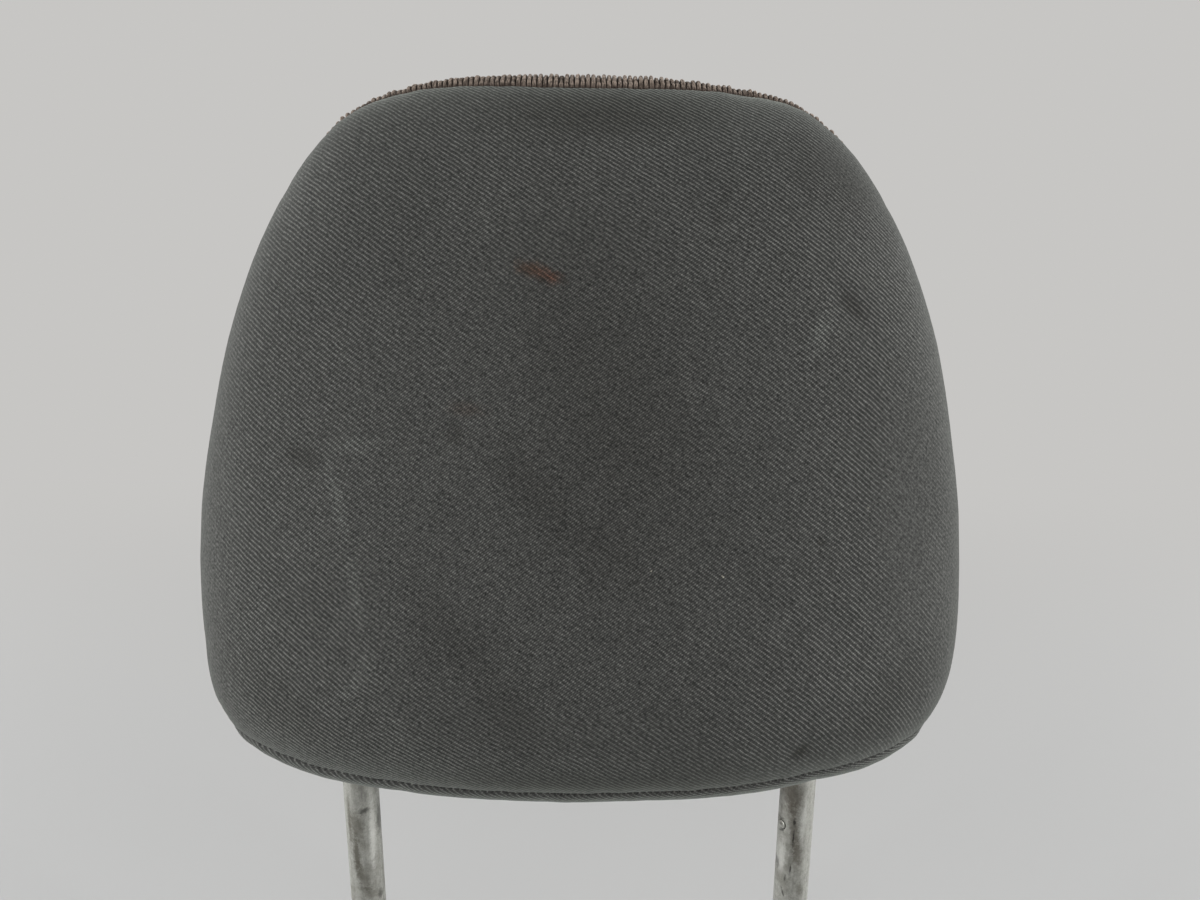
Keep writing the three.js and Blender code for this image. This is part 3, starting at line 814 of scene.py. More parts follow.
SPOKE_SAMPLES = 400
SWELLING_ROUNDS = 3
HEM_BLEND_ROUNDS = 4
MERGE_DISTANCE = MM / 200


def even_along(angles, count):
    """Angles whose points lie evenly along the rim."""
    along = lengths(np.stack(outline(angles), axis=-1))
    return np.interp(np.linspace(0, along[-1], count), along, angles)


def wrapped(values):
    """A closed lattice, whose last column repeats its first, with one more column on each side."""
    return np.concatenate([values[:, -2:-1], values, values[:, 1:2]], axis=1)


def lattice_normals(points, closed):
    """Outward normals of a surface given as rows and columns of points. The first row of a closed one
    is its middle."""
    if closed:
        wide = wrapped(points)
        across = (wide[:, 2:] - wide[:, :-2]) / 2
    else:
        across = np.gradient(points, axis=1)
    normals = np.cross(np.gradient(points, axis=0), across)
    middle = from_pad((0, 0, PAD_WIDEST_HEIGHT))
    normals *= np.sign(np.median(np.sum(normals * (points - middle), axis=-1)))
    if closed:
        normals[0] = normals[1].mean(axis=0)
    return normals / np.maximum(np.linalg.norm(normals, axis=-1, keepdims=True), 1e-12)


def softened(values, rounds, closed):
    """Values on a lattice, evened out with their neighbours."""
    for _ in range(rounds):
        wide = np.pad(values, ((1, 1), (0, 0)), mode="edge")
        values = (wide[:-2] + 2 * wide[1:-1] + wide[2:]) / 4
        wide = wrapped(values) if closed else np.pad(values, ((0, 0), (1, 1)), mode="edge")
        values = (wide[:, :-2] + 2 * wide[:, 1:-1] + wide[:, 2:]) / 4
    return values


def swelling(points, normals, angles, places, closed):
    """How far the swollen form stands out from each point of the pad's plain surface. Round the rim,
    where the cover is stretched tight, it is pulled in by the trim's millimetres, at angles in degrees
    that are 90 at the top."""
    out = np.zeros(points.shape[:-1])
    for at in np.ndindex(out.shape):
        normal = Vector(normals[at])
        reach = skin_form.ray_cast(Vector(points[at]) + normal * PROBE, -normal, 2 * PROBE)[3]
        if reach is not None:
            out[at] = SKIN_SHARE * (PROBE - reach)
    at_rim = np.exp(-((places / RIM_REACH) ** 2))
    x, z = outline(angles)
    way = np.broadcast_to(np.degrees(np.arctan2(z, x)), out.shape)
    trim = np.interp(way, *np.array(RIM_TRIM).T, period=360)
    return softened(out, SWELLING_ROUNDS, closed) * (1 - at_rim) - trim * MM * at_rim


def ripple(along, seed):
    """A gentle uneven wave between about -1 and 1."""
    phases = np.random.default_rng(seed).uniform(0, 2 * math.pi, len(PUCKER_LENGTHS))
    waves = [np.sin(2 * math.pi * along / p + q) for p, q in zip(PUCKER_LENGTHS, phases)]
    return sum(waves) / 2


def sewn_edge(away, along, at_hem, seed):
    """How a panel's surface sinks and puckers towards its seam. The hem is the finer seam."""
    away = np.maximum(0, away - SEAM_GAP)
    full_roll, full_pull = [
        VELOUR_EDGE[name] + (HEM_EDGE[name] - VELOUR_EDGE[name]) * at_hem for name in ("roll", "pull")
    ]
    rolled = 1 - np.clip(away / full_roll, 0, 1)
    sunk = full_roll * (1 - np.sqrt(1 - rolled**2))
    pull = full_pull * np.exp(-away / SEAM_PULL_REACH)
    reach = np.exp(-away / PUCKER_REACH) * np.clip(away / full_roll, 0, 1)
    return PUCKER_HEIGHT * ripple(along, seed) * reach - sunk - pull


def turned_in(values, normals=None):
    """Values with rows and columns added round all four edges, where points turn in if their normals
    are given."""
    count = len(TURN_IN_STEPS)
    beyond = []
    for size in values.shape[:2]:
        half = (size - 1) / 2
        beyond.append(np.maximum(0, np.abs(np.arange(size + 2 * count) - half - count) - half))
    beyond = np.maximum(beyond[0][:, None], beyond[1])
    depth = np.append(0, TURN_IN_STEPS)[np.round(beyond).astype(int)]
    sides = ((count, count), (count, count), (0, 0))
    wide = np.pad(values, sides, mode="edge")
    return wide if normals is None else wide - np.pad(normals, sides, mode="edge") * depth[..., None]


def corner_vertices(mesh):
    numbers = np.empty(len(mesh.loops), int)
    mesh.loops.foreach_get("vertex_index", numbers)
    return numbers


def lattice_piece(name, points, uv, flip):
    """A piece from rows and columns of points, with the given place in the cloth at each."""
    rows, columns = points.shape[:2]
    bpy.ops.object.select_all(action="DESELECT")
    bpy.ops.mesh.primitive_grid_add(x_subdivisions=columns - 1, y_subdivisions=rows - 1, size=1)
    piece = bpy.context.object
    piece.name = name
    set_coordinates(piece.data, points.reshape(-1, 3))
    corner_uv = uv.reshape(-1, 2)[corner_vertices(piece.data)]
    piece.data.uv_layers[0].data.foreach_set("uv", corner_uv.ravel())
    if flip:
        on_all_of(piece, bpy.ops.mesh.flip_normals)
    return piece


def merge_doubles(piece):
    """Joins points in one place, such as a closed lattice's first and last columns."""
    on_all_of(piece, bpy.ops.mesh.remove_doubles, threshold=MERGE_DISTANCE)


def smooth_samples(values, at):
    """Values between evenly spaced samples, on a smooth curve through them."""
    i = np.clip(np.floor(at).astype(int), 0, len(values) - 2)
    t = (at - i).reshape(-1, *[1] * (values.ndim - 1))
    before, after = values[np.maximum(i - 1, 0)], values[np.minimum(i + 2, len(values) - 1)]
    a, b = values[i], values[i + 1]
    bend = 2 * before - 5 * a + 4 * b - after + t * (3 * (a - b) + after - before)
    return a + t / 2 * (b - before + t * bend)


def laid_flat(points):
    """Where each point of a coarse closed lattice lies in the flat cloth, in metres, before the panel
    was sewn and stretched. The cloth's upright threads run straight up the panel's middle."""
    pattern = lattice_piece("cut_pattern", points, np.zeros(points.shape[:2] + (2,)), flip=False)
    merge_doubles(pattern)
    on_all_of(
        pattern, bpy.ops.uv.unwrap, method="MINIMUM_STRETCH", fill_holes=False, iterations=FLAT_ROUNDS
    )
    mesh = pattern.data
    places = np.empty(len(mesh.loops) * 2)
    mesh.uv_layers[0].data.foreach_get("uv", places)
    flat = np.zeros((len(mesh.vertices), 2))
    flat[corner_vertices(mesh)] = places.reshape(-1, 2)
    at = coordinates(mesh)
    bpy.data.objects.remove(pattern)
    ahead = at - at.mean(axis=0)
    away = np.linalg.norm(ahead, axis=1)
    near = away < np.percentile(away, FLAT_MIDDLE_PERCENT)
    across, back, high = ahead[near].T
    up = (back**2 + high**2) ** 0.5 * np.sign(high + back)
    known = np.column_stack([flat[near], np.ones(near.sum())])
    fit = np.linalg.lstsq(known, np.column_stack([across, up]), rcond=None)[0][:2]
    left, stretch, right = np.linalg.svd(fit)
    flat = flat @ (left @ right) * math.sqrt(stretch.prod())
    return flat[nearest(points, at)[0]]


def thicken(panel):
    """Joins a panel's doubled points and gives the cloth its thickness, inwards."""
    merge_doubles(panel)
    apply_modifier(panel, "SOLIDIFY", thickness=CLOTH_THICKNESS, offset=-1)


def spokes(middle_place, edge, angles, rings, edge_steps):
    """Places from the middle of a face out to a panel's edge along each angle, with rings close to
    the edge at the given distances from it."""
    shares = np.linspace(0, 1, SPOKE_SAMPLES)
    places = middle_place + (edge - middle_place) * shares[:, None]
    length = lengths(pad_surface(np.broadcast_to(angles, places.shape), places))
    wanted_inner = np.linspace(0, 1, rings)
    result = []
    for k in range(len(angles)):
        total = length[-1, k]
        steps = edge_steps * min(1, total / (2 * edge_steps[-1] + MM))
        inner = wanted_inner * (total - steps[-1])
        wanted = np.concatenate([inner, total - steps[-2::-1]])
        result.append(np.interp(wanted, length[:, k], places[:, k]))
    return np.stack(result, axis=1)


TWILL_COLOUR = (0.0445, 0.0447, 0.042, 1)
UPRIGHT_THREAD = 0.59 * MM
CROSS_THREAD = 0.43 * MM
RIDGE_WAVES = ((0.25, 0.25, 1.0), (0.5, 0.5, 0.34))
THREAD_WAVES = ((0.5, -0.5, 1.0), (0.75, -0.25, 0.6))
WEAVE_DEPTH = 0.22 * MM
WEAVE_CONTRAST = 1.15
RIDGE_AT_MIDDLE = 0.3
RIDGE_AT_EDGE = 0.68
THREADS_AT_MIDDLE = 0.46
THREADS_AT_EDGE = 0.25
WORN_MIDDLE = ((0, -40 * MM, 98 * MM), (0, -40 * MM, 110 * MM))
WORN_HALF_WIDTH = 114 * MM
WORN_SOFTNESS = 0.75
RIDGE_FADE = (104 * MM, 124 * MM)
RIDGE_LEFT_AT_SIDE = 0.25
BENT_START = 0.86
BENT_FULL = 0.55
RIDGE_LOST_WHERE_BENT = 0.85
THREAD_DRIFT = {"scale": 140, "detail": 2, "roughness": 0.5}
THREAD_BREAKS = {"scale": 820, "detail": 2, "roughness": 0.6}
THREAD_SPECKS = {"scale": 1250, "detail": 1, "roughness": 0.5}
TWILL_CLOUDS = {"scale": 16, "detail": 3, "roughness": 0.55}
TWILL_MARK_EDGE = {"scale": 420, "detail": 4, "roughness": 0.65}
DRIFT_THREADS = 1.4
BREAK_AMOUNT = 2.4
SPECK_AMOUNT = 2.8
CLOUD_AMOUNT = 0.5
DARKEST_LEVEL = 0.12
RIDGE_RELIEF = 0.3
SMOOTH_SOFTNESS = 0.9
TWILL_MARK_RAGGEDNESS = 1.1
TWILL_MARK_SOFTNESS = 0.95
TWILL_ROUGHNESS = 0.9
TWILL_FINISH = {
    "Sheen_Weight": 0.2,
    "Sheen_Roughness": 0.45,
    "Sheen_Tint": (0.84, 0.9, 0.82, 1),
    "Specular_IOR_Level": 0.2,
}
GRIME_AND_PAINTED_SHADE = (0.015, 0.014, 0.012, 1)
RUBBED = (0.078, 0.081, 0.075, 1)
BROWN_SMEAR = (0.036, 0.020, 0.012, 1)
RUST = (0.05, 0.025, 0.017, 1)
FLECK = (0.2, 0.19, 0.16, 1)
SMOOTH_PLACES = (((848, 135), (880, 205), 11), ((925, 330), (905, 660), 24))
TWILL_MARKS = (
    # Painted shade over the middle of the rear face.
    ((590, 438), (680, 442), 22, GRIME_AND_PAINTED_SHADE, 0.14),
    # Darker bands along the two shallow valleys.
    ((500, 458), (552, 514), 12, GRIME_AND_PAINTED_SHADE, 0.28),
    ((545, 506), (640, 584), 12, GRIME_AND_PAINTED_SHADE, 0.22),
    ((418, 598), (482, 668), 12, GRIME_AND_PAINTED_SHADE, 0.28),
    ((488, 684), (532, 740), 12, GRIME_AND_PAINTED_SHADE, 0.3),
    # Painted shade along the bottom and the top, over the middle, at the upper right and at the two lower
    # corners.
    ((370, 778), (840, 774), 10, GRIME_AND_PAINTED_SHADE, 0.75),
    ((640, 774), (760, 769), 8, GRIME_AND_PAINTED_SHADE, 0.3),
    ((480, 108), (730, 112), 15, GRIME_AND_PAINTED_SHADE, 0.8),
    ((560, 200), (640, 560), 42, GRIME_AND_PAINTED_SHADE, 0.3),
    ((790, 140), (868, 215), 16, GRIME_AND_PAINTED_SHADE, 0.4),
    ((235, 650), (330, 748), 15, GRIME_AND_PAINTED_SHADE, 0.32),
    ((930, 650), (842, 748), 15, GRIME_AND_PAINTED_SHADE, 0.28),
    ((443, 437), (464, 434), 4, GRIME_AND_PAINTED_SHADE, 0.4),
    # Painted shade in the two dents.
    ((292, 455), (314, 463), 5.5, GRIME_AND_PAINTED_SHADE, 0.5),
    ((846, 299), (862, 314), 4.5, GRIME_AND_PAINTED_SHADE, 0.6),
    # Dark spots and a dark smudge.
    ((728, 184), (726, 200), 3, GRIME_AND_PAINTED_SHADE, 0.4),
    ((716, 208), (720, 224), 3, GRIME_AND_PAINTED_SHADE, 0.3),
    ((821, 542), (824, 544), 2.4, GRIME_AND_PAINTED_SHADE, 0.55),
    ((793, 758), (807, 746), 3.6, GRIME_AND_PAINTED_SHADE, 1.0),
    ((327, 458), (347, 545), 3.8, RUBBED, 0.5),
    ((347, 545), (366, 650), 3.8, RUBBED, 0.4),
    ((366, 650), (372, 690), 3.6, RUBBED, 0.36),
    ((364, 676), (344, 700), 3.6, RUBBED, 0.36),
    ((384, 705), (430, 770), 4, RUBBED, 0.18),
    ((335, 447), (372, 445), 5, RUBBED, 0.35),
    ((829, 318), (816, 350), 4.6, RUBBED, 0.5),
    ((450, 408), (482, 412), 3.6, BROWN_SMEAR, 0.3),
    ((517, 266), (546, 272), 3.6, BROWN_SMEAR, 0.85),
    ((536, 274), (560, 280), 3.0, RUST, 1.0),
    ((537, 279), (548, 282), 1.7, GRIME_AND_PAINTED_SHADE, 0.9),
    ((561, 279), (566, 283), 1.5, GRIME_AND_PAINTED_SHADE, 0.8),
    ((869, 509), (870, 510), 0.55, FLECK, 0.9),
    ((723, 578), (724, 579), 0.5, FLECK, 0.9),
    ((651, 573), (652, 573), 0.5, FLECK, 0.9),
)
FOLDS = (
    (((328, 462), (346, 540), (364, 640), (371, 688)), 3.4, -0.3),
    (((364, 676), (344, 700)), 3, -0.18),
    (((336, 446), (372, 444)), 4, -0.2),
    (((294, 453), (316, 465)), 3.6, 0.9),
    (((845, 299), (860, 315)), 3.8, 1.2),
    (((828, 318), (815, 346)), 3.6, -0.5),
    (((500, 460), (550, 512), (632, 580)), 7, 0.4),
    (((420, 600), (470, 660), (522, 712), (532, 738)), 7, 0.45),
    (((793, 758), (807, 746)), 2.5, 0.5),
)


def off_line(points, line):
    """How far each point lies from a line through several places."""
    nearest = np.full(points.shape[:-1], np.inf)
    for start, end in zip(line[:-1], line[1:]):
        step = end - start
        t = np.clip((points - start) @ step / (step @ step), 0, 1)
        nearest = np.minimum(nearest, np.linalg.norm(points - start - t[..., None] * step, axis=-1))
    return nearest


def folded(points):
    """How deep old dents lie in the twill at each point, or how far creases stand up. Each fold has its
    places in the photograph, and its reach and depth in millimetres."""
    depth = np.zeros(points.shape[:-1])
    for line, reach, sunk in FOLDS:
        places = np.array([seen_at(place, skin_form) for place in line])
        depth += sunk * MM * np.exp(-((off_line(points, places) / (reach * MM)) ** 2))
    return depth


def plain_mix(tree, share, first, last):
    """A number between two others, by the share of the last."""
    return calc(tree, "MULTIPLY_ADD", share, last - first, first)


def weave(tree):
    """Heights of the ridges of a four-end twill, which fall from left to right, and of the threads
    that cross them. Each is a sum of waves, given by their turns for each upright and each cross
    thread and by their height."""
    uv = add_node(tree, "ShaderNodeUVMap").outputs["UV"]
    cloth = axes(tree, uv)
    drift = swung(tree, grain(tree, uv, **THREAD_DRIFT), DRIFT_THREADS)
    a = calc(tree, "MULTIPLY_ADD", cloth["X"], 1 / UPRIGHT_THREAD, drift)
    b = calc(tree, "MULTIPLY_ADD", cloth["Y"], 1 / CROSS_THREAD, drift)

    def wave(across, up, height):
        turns = calc(tree, "ADD", calc(tree, "MULTIPLY", a, across), calc(tree, "MULTIPLY", b, up))
        swing = calc(tree, "COSINE", calc(tree, "MULTIPLY", turns, math.tau))
        return calc(tree, "MULTIPLY", swing, height)

    return [calc(tree, "ADD", wave(*first), wave(*last)) for first, last in (RIDGE_WAVES, THREAD_WAVES)]


def weave_kept(tree, place):
    """How much of the weave still shows: less at the sides, in two worn places and where it bends."""
    smooth = between(tree, calc(tree, "ABSOLUTE", axes(tree, place)["X"]), *RIDGE_FADE)
    for start, end, half_width in SMOOTH_PLACES:
        ends = [seen_at(at, skin_form) for at in (start, end)]
        worn = patch(tree, ends, half_width * MM, 0.0, SMOOTH_SOFTNESS)
        smooth = calc(tree, "MAXIMUM", smooth, worn)
    bend = add_node(tree, "ShaderNodeAttribute", attribute_name="bent").outputs["Fac"]
    left = plain_mix(tree, smooth, 1.0, RIDGE_LEFT_AT_SIDE)
    return calc(tree, "MULTIPLY", left, plain_mix(tree, bend, 1.0, 1 - RIDGE_LOST_WHERE_BENT))


def make_twill():
    """Dark grey twill, a little worn and dusty, with the stains and rubbed creases of its age. Its colour
    also holds painted highlights on the weave's ridges and threads, painted shade in its grooves, and
    painted shade in broad patches and in two dents.
    """
    material, tree, surface = new_material("grey_twill")
    ridge, threads = weave(tree)
    place = object_place(tree)
    ends = [Vector(from_pad(end)) for end in WORN_MIDDLE]
    middle = patch(tree, ends, WORN_HALF_WIDTH, 0.0, WORN_SOFTNESS)
    breaks = swung(tree, grain(tree, place, **THREAD_BREAKS), BREAK_AMOUNT)
    broken = calc(tree, "MULTIPLY_ADD", breaks, middle, 1.0)
    ridges = calc(tree, "MULTIPLY", ridge, plain_mix(tree, middle, RIDGE_AT_EDGE, RIDGE_AT_MIDDLE))
    ridges = calc(tree, "MULTIPLY", ridges, broken)
    thread_share = plain_mix(tree, middle, THREADS_AT_EDGE, THREADS_AT_MIDDLE)
    kept = weave_kept(tree, place)
    # The weave's heights also set the colour: lighter on the ridges and thread tops and darker in the
    # grooves, which is painted highlight and painted shade.
    pattern = calc(tree, "MULTIPLY", calc(tree, "MULTIPLY_ADD", threads, thread_share, ridges), kept)
    level = calc(tree, "MAXIMUM", calc(tree, "MULTIPLY_ADD", pattern, WEAVE_CONTRAST, 1.0), DARKEST_LEVEL)
    for noise, amount in ((TWILL_CLOUDS, CLOUD_AMOUNT), (THREAD_SPECKS, SPECK_AMOUNT)):
        level = calc(tree, "MULTIPLY", level, swung(tree, grain(tree, place, **noise), amount, 1.0))
    ragged = swung(tree, grain(tree, place, **TWILL_MARK_EDGE), TWILL_MARK_RAGGEDNESS)
    stained_and_shaded = marked(tree, TWILL_COLOUR, TWILL_MARKS, skin_form, ragged, TWILL_MARK_SOFTNESS)
    colour = add_node(tree, "ShaderNodeVectorMath", operation="SCALE")
    plug(tree, colour.inputs[0], stained_and_shaded)
    plug(tree, colour.inputs["Scale"], level)
    relief = calc(tree, "MULTIPLY", calc(tree, "MULTIPLY_ADD", ridge, RIDGE_RELIEF, 0.5), kept)
    normal = raised(tree, relief, WEAVE_DEPTH)
    finish_material(tree, surface, colour.outputs[0], TWILL_ROUGHNESS, normal, **TWILL_FINISH)
    return material


def bent(normals):
    """Where the cloth bends away over the rim, and is stretched so tight that its ridges lie flat."""
    rearward = np.abs(normals[..., 1] * math.cos(PAD_LEAN) - normals[..., 2] * math.sin(PAD_LEAN))
    return np.clip((BENT_START - rearward) / (BENT_START - BENT_FULL), 0, 1)


def store(piece, name, values):
    """Keeps a value for each point of a piece, for its material."""
    layer = piece.data.attributes.new(name, "FLOAT", "POINT")
    layer.data.foreach_set("value", values.ravel())


twill = make_twill()

even_angles = even_along(round_angles(), PANEL_COLUMNS + 1)
edge_place = np.minimum(velour_seam(even_angles), hem_seam(even_angles))
places = spokes(-1.0, edge_place, even_angles, PANEL_RINGS, EDGE_STEPS)
angles = np.broadcast_to(even_angles, places.shape)
plain = from_pad(pad_surface(angles, places))
normals = lattice_normals(plain, closed=True)
away, along = distances(plain, (plain[-1], lengths(plain[-1])))
at_hem = (hem_seam(angles) < velour_seam(angles)).astype(float)
at_hem = softened(at_hem, HEM_BLEND_ROUNDS, closed=True)
shift = swelling(plain, normals, angles, places, closed=True)
shift += sewn_edge(away + SEAM_GAP, along, at_hem, seed=3)
shift -= folded(plain)
rear_points = plain + normals * shift[..., None]
rear_points = np.concatenate([rear_points, [rear_points[-1] - normals[-1] * k for k in TURN_IN_STEPS]])
coarse_angles = even_angles[::PATTERN_STRIDE]
coarse_places = spokes(-1.0, edge_place[::PATTERN_STRIDE], coarse_angles, PATTERN_RINGS, np.zeros(2))
coarse_places = coarse_places[:PATTERN_RINGS]
coarse = from_pad(pad_surface(np.broadcast_to(coarse_angles, coarse_places.shape), coarse_places))
stretch = laid_flat(coarse) - coarse[..., [0, 2]]
column_at = 1 + np.arange(PANEL_COLUMNS + 1) / PATTERN_STRIDE
flat_columns = smooth_samples(wrapped(stretch).swapaxes(0, 1), column_at)
spoke_length = lengths(plain)
ring_at = spoke_length / spoke_length[-1] * (PATTERN_RINGS - 1)
rear_flat = np.stack(
    [smooth_samples(flat_columns[k], ring_at[:, k]) for k in range(PANEL_COLUMNS + 1)], axis=1
)
rear_flat += plain[..., [0, 2]]
rear_flat = np.concatenate([rear_flat, [rear_flat[-1]] * len(TURN_IN_STEPS)])
rear = lattice_piece("rear_panel", rear_points, rear_flat, flip=True)
store(rear, "bent", bent(np.concatenate([normals, [normals[-1]] * len(TURN_IN_STEPS)])))
thicken(rear)
rear.data.shade_smooth()
rear.data.materials.append(twill)
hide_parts("cover_rear")
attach(rear, "root")

# Underside panel. The same twill closes the pad from below, between the hem and the velour. The two
# posts come through it in sewn holes, whose edges are drawn up round the steel.
UNDERSIDE_COLUMNS = 330
UNDERSIDE_RINGS = 22
POST_HOLE_RADIUS = 6.6 * MM
HOLE_TUCK = 1.5 * MM
HOLE_TUCK_REACH = 2.6 * MM
HOLE_CUT_LOW = 140 * MM
HOLE_CUT_HIGH = 190 * MM
HEM_BULGE = 1.3 * MM
HEM_BULGE_START = 1.6 * MM
HEM_BULGE_REACH = 26 * MM
UNDERSIDE_BENT = 0.1

under_even = even_along(round_angles(-math.pi - hem_corner, hem_corner), UNDERSIDE_COLUMNS + 1)
hem_places = hem_seam(under_even)
velour_places = np.maximum(velour_seam(under_even), hem_places)
between_seams = (hem_places + velour_places) / 2
to_hem, to_velour = [
    spokes(between_seams, seam, under_even, UNDERSIDE_RINGS, EDGE_STEPS)
    for seam in (hem_places, velour_places)
]
places = np.concatenate([to_hem[::-1], to_velour[1:]])
angles = np.broadcast_to(under_even, places.shape)
plain = from_pad(pad_surface(angles, places))
normals = lattice_normals(plain, closed=False)
hem_away, hem_along = distances(plain, hem_seam_line)
front_away, front_along = distances(plain, velour_seam_line)
at_hem = (hem_away < front_away).astype(float)
away = np.minimum(hem_away, front_away)
along = np.where(hem_away < front_away, hem_along, front_along)
shift = swelling(plain, normals, angles, places, closed=False)
shift += sewn_edge(away, along, at_hem, seed=5)
bulge = HEM_BULGE * (1 - np.exp(-hem_away / HEM_BULGE_START))
shift += bulge * np.exp(-((hem_away / HEM_BULGE_REACH) ** 2))
from_post = np.hypot(np.abs(plain[..., 0]) - POST_OFFSET, plain[..., 1])
shift -= HOLE_TUCK * np.exp(-(np.maximum(0, from_post - POST_HOLE_RADIUS) / HOLE_TUCK_REACH) ** 2)
under_points = plain + normals * shift[..., None]
across = lengths(plain, axis=1)
across -= across[:, UNDERSIDE_COLUMNS // 2][:, None]
back = lengths(plain)
under_flat = np.stack([np.broadcast_to(across.mean(axis=0), back.shape), -back], axis=-1)
under = lattice_piece("underside_panel", turned_in(under_points, normals), turned_in(under_flat), flip=True)
store(under, "bent", np.full(len(under.data.vertices), UNDERSIDE_BENT))
thicken(under)
for side in (-1, 1):
    low, high = [(side * POST_OFFSET, 0, height) for height in (HOLE_CUT_LOW, HOLE_CUT_HIGH)]
    cut_away(under, rod("post_hole", POST_HOLE_RADIUS, low, high))
under.data.shade_smooth()
under.data.materials.append(twill)
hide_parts("cover_underside")
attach(under, "root")

# Front panel. Ribbed velour in a mix of beige and browns covers the face that the head leans on, and
# reaches over the top edge. Its upright ribs are rows of cut tufts of uneven height.
RIB_PITCH = 1.8 * MM
RIB_HEIGHT = 1.05 * MM
RIB_ROUNDNESS = 0.42
RIB_UNEVENNESS = 0.2
TUFT_UNEVENNESS = 0.38
TUFT_LEAN = 0.2 * MM
POINTS_PER_RIB = 6
FRONT_SPAN = 300 * MM
FRONT_TOP_SPAN = 26 * MM
FRONT_TOP_STEP = 0.65 * MM
FRONT_ROWS = 64
VELOUR_BASE_SHADE = 0.8
VELOUR_BASE_REACH = 1.1 * MM
VELOUR_LIGHT = (0.29, 0.232, 0.19, 1)
VELOUR_MIDDLE = (0.05, 0.037, 0.028, 1)
VELOUR_PAINTED_SHADE = (0.02, 0.013, 0.01, 1)
TUFT_MIX = {"scale": 1.0, "detail": 3, "roughness": 0.75}
TUFT_FIBRES = {"scale": 2600, "detail": 3, "roughness": 0.6, "stretch": (1, 0.2, 1)}
TUFTS_PER_METRE = 600
RIB_TO_RIB = 7.31
FIBRE_AMOUNT = 1.2
FIBRE_RELIEF = 0.25 * MM
SHADE_RANGE = (0.3, 0.72)
FURROW_RANGE = (-0.35, -1.0)
VELOUR_ROUGHNESS = 0.95
VELOUR_FINISH = {
    "Sheen_Weight": 0.25,
    "Sheen_Roughness": 0.5,
    "Sheen_Tint": (0.9, 0.8, 0.72, 1),
    "Specular_IOR_Level": 0.15,
}
PILE_RISE = 2 * MM
PILE_SEED = 11


def make_velour():
    """Ribbed velour, whose tufts are dyed in a mix of beige and browns, with painted shade in the furrows
    between the ribs and along the seam at their foot.
    """
    material, tree, surface = new_material("ribbed_velour")
    uv = add_node(tree, "ShaderNodeUVMap").outputs["UV"]
    cloth = axes(tree, uv)
    rib = calc(tree, "MULTIPLY", cloth["X"], 1 / RIB_PITCH)
    crest = calc(tree, "COSINE", calc(tree, "MULTIPLY", rib, math.tau))
    tuft = add_node(tree, "ShaderNodeCombineXYZ")
    plug(tree, tuft.inputs["X"], calc(tree, "MULTIPLY", calc(tree, "ROUND", rib), RIB_TO_RIB))
    plug(tree, tuft.inputs["Y"], calc(tree, "MULTIPLY", cloth["Y"], TUFTS_PER_METRE))
    fibre = grain(tree, uv, **TUFT_FIBRES)
    mixed = calc(tree, "ADD", grain(tree, tuft.outputs[0], **TUFT_MIX), swung(tree, fibre, FIBRE_AMOUNT))
    colour = blend_colours(tree, between(tree, mixed, *SHADE_RANGE), VELOUR_MIDDLE, VELOUR_LIGHT)
    # Painted shade in the furrows between the ribs.
    colour = blend_colours(tree, between(tree, crest, *FURROW_RANGE), colour, VELOUR_PAINTED_SHADE)
    # Painted shade at the foot of the pile, along the seam.
    deep = add_node(tree, "ShaderNodeAttribute", attribute_name="deep").outputs["Fac"]
    colour = blend_colours(tree, deep, colour, VELOUR_PAINTED_SHADE)
    normal = raised(tree, fibre, FIBRE_RELIEF)
    finish_material(tree, surface, colour, VELOUR_ROUGHNESS, normal, **VELOUR_FINISH)
    return material


def column(x, samples=900):
    """Angles and places along the front panel at one distance from the middle, from its lower edge
    up the face and over the rim to its upper edge."""
    widest = math.sqrt(1 - abs(x) / PAD_HALF_WIDTH)
    angles, places = [], []
    for shape, end, side in ((LOWER_OUTLINE, 0, -1), (UPPER_OUTLINE, 2 * VELOUR_SEAM["top"], 1)):
        place = widest + (end - widest) * np.linspace(0, 1, samples) ** shape["along"]
        share = np.maximum(1 - place**2, max(abs(x) / PAD_HALF_WIDTH, 1e-6))
        level = np.clip(abs(x) / (PAD_HALF_WIDTH * share), 0, 1)
        cosine = np.sign(x) * level ** (shape["across"] / 2)
        angles.append(np.arctan2(side * np.sqrt(np.maximum(0, 1 - cosine**2)), cosine)[::side])
        places.append(place[::side])
    angle, place = np.concatenate(angles), np.concatenate(places)
    inside = np.flatnonzero(place >= velour_seam(angle))
    return angle[inside[0] : inside[-1] + 1], place[inside[0] : inside[-1] + 1]


widest_x = np.abs(pad_surface(even_angles, velour_seam(even_angles))[:, 0]).max()
half_columns = int(widest_x / (RIB_PITCH / POINTS_PER_RIB))
column_x = np.arange(-half_columns, half_columns + 1) * RIB_PITCH / POINTS_PER_RIB
front_rows = np.concatenate([
    EDGE_STEPS[:-1],
    np.linspace(EDGE_STEPS[-1], FRONT_SPAN - FRONT_TOP_SPAN, FRONT_ROWS),
    np.arange(FRONT_SPAN - FRONT_TOP_SPAN + FRONT_TOP_STEP, FRONT_SPAN - EDGE_STEPS[-1], FRONT_TOP_STEP),
    FRONT_SPAN - EDGE_STEPS[::-1],
]) / FRONT_SPAN
front_angles, front_places = [], []
for x in column_x:
    angle, t = column(x)
    points = pad_surface(angle, t)
    length = lengths(points)
    index = np.interp(front_rows * length[-1], length, np.arange(len(t)))
    front_angles.append(np.interp(index, np.arange(len(t)), angle))
    front_places.append(np.interp(index, np.arange(len(t)), t))
angles = np.stack(front_angles, axis=1)
places = np.stack(front_places, axis=1)
plain = from_pad(pad_surface(angles, places))
normals = lattice_normals(plain, closed=False)
away, along = distances(plain, velour_seam_line)
shift = swelling(plain, normals, angles, places, closed=False)
shift += sewn_edge(away, along, at_hem=0.0, seed=7)
rib_number = np.round(column_x / RIB_PITCH).astype(int)
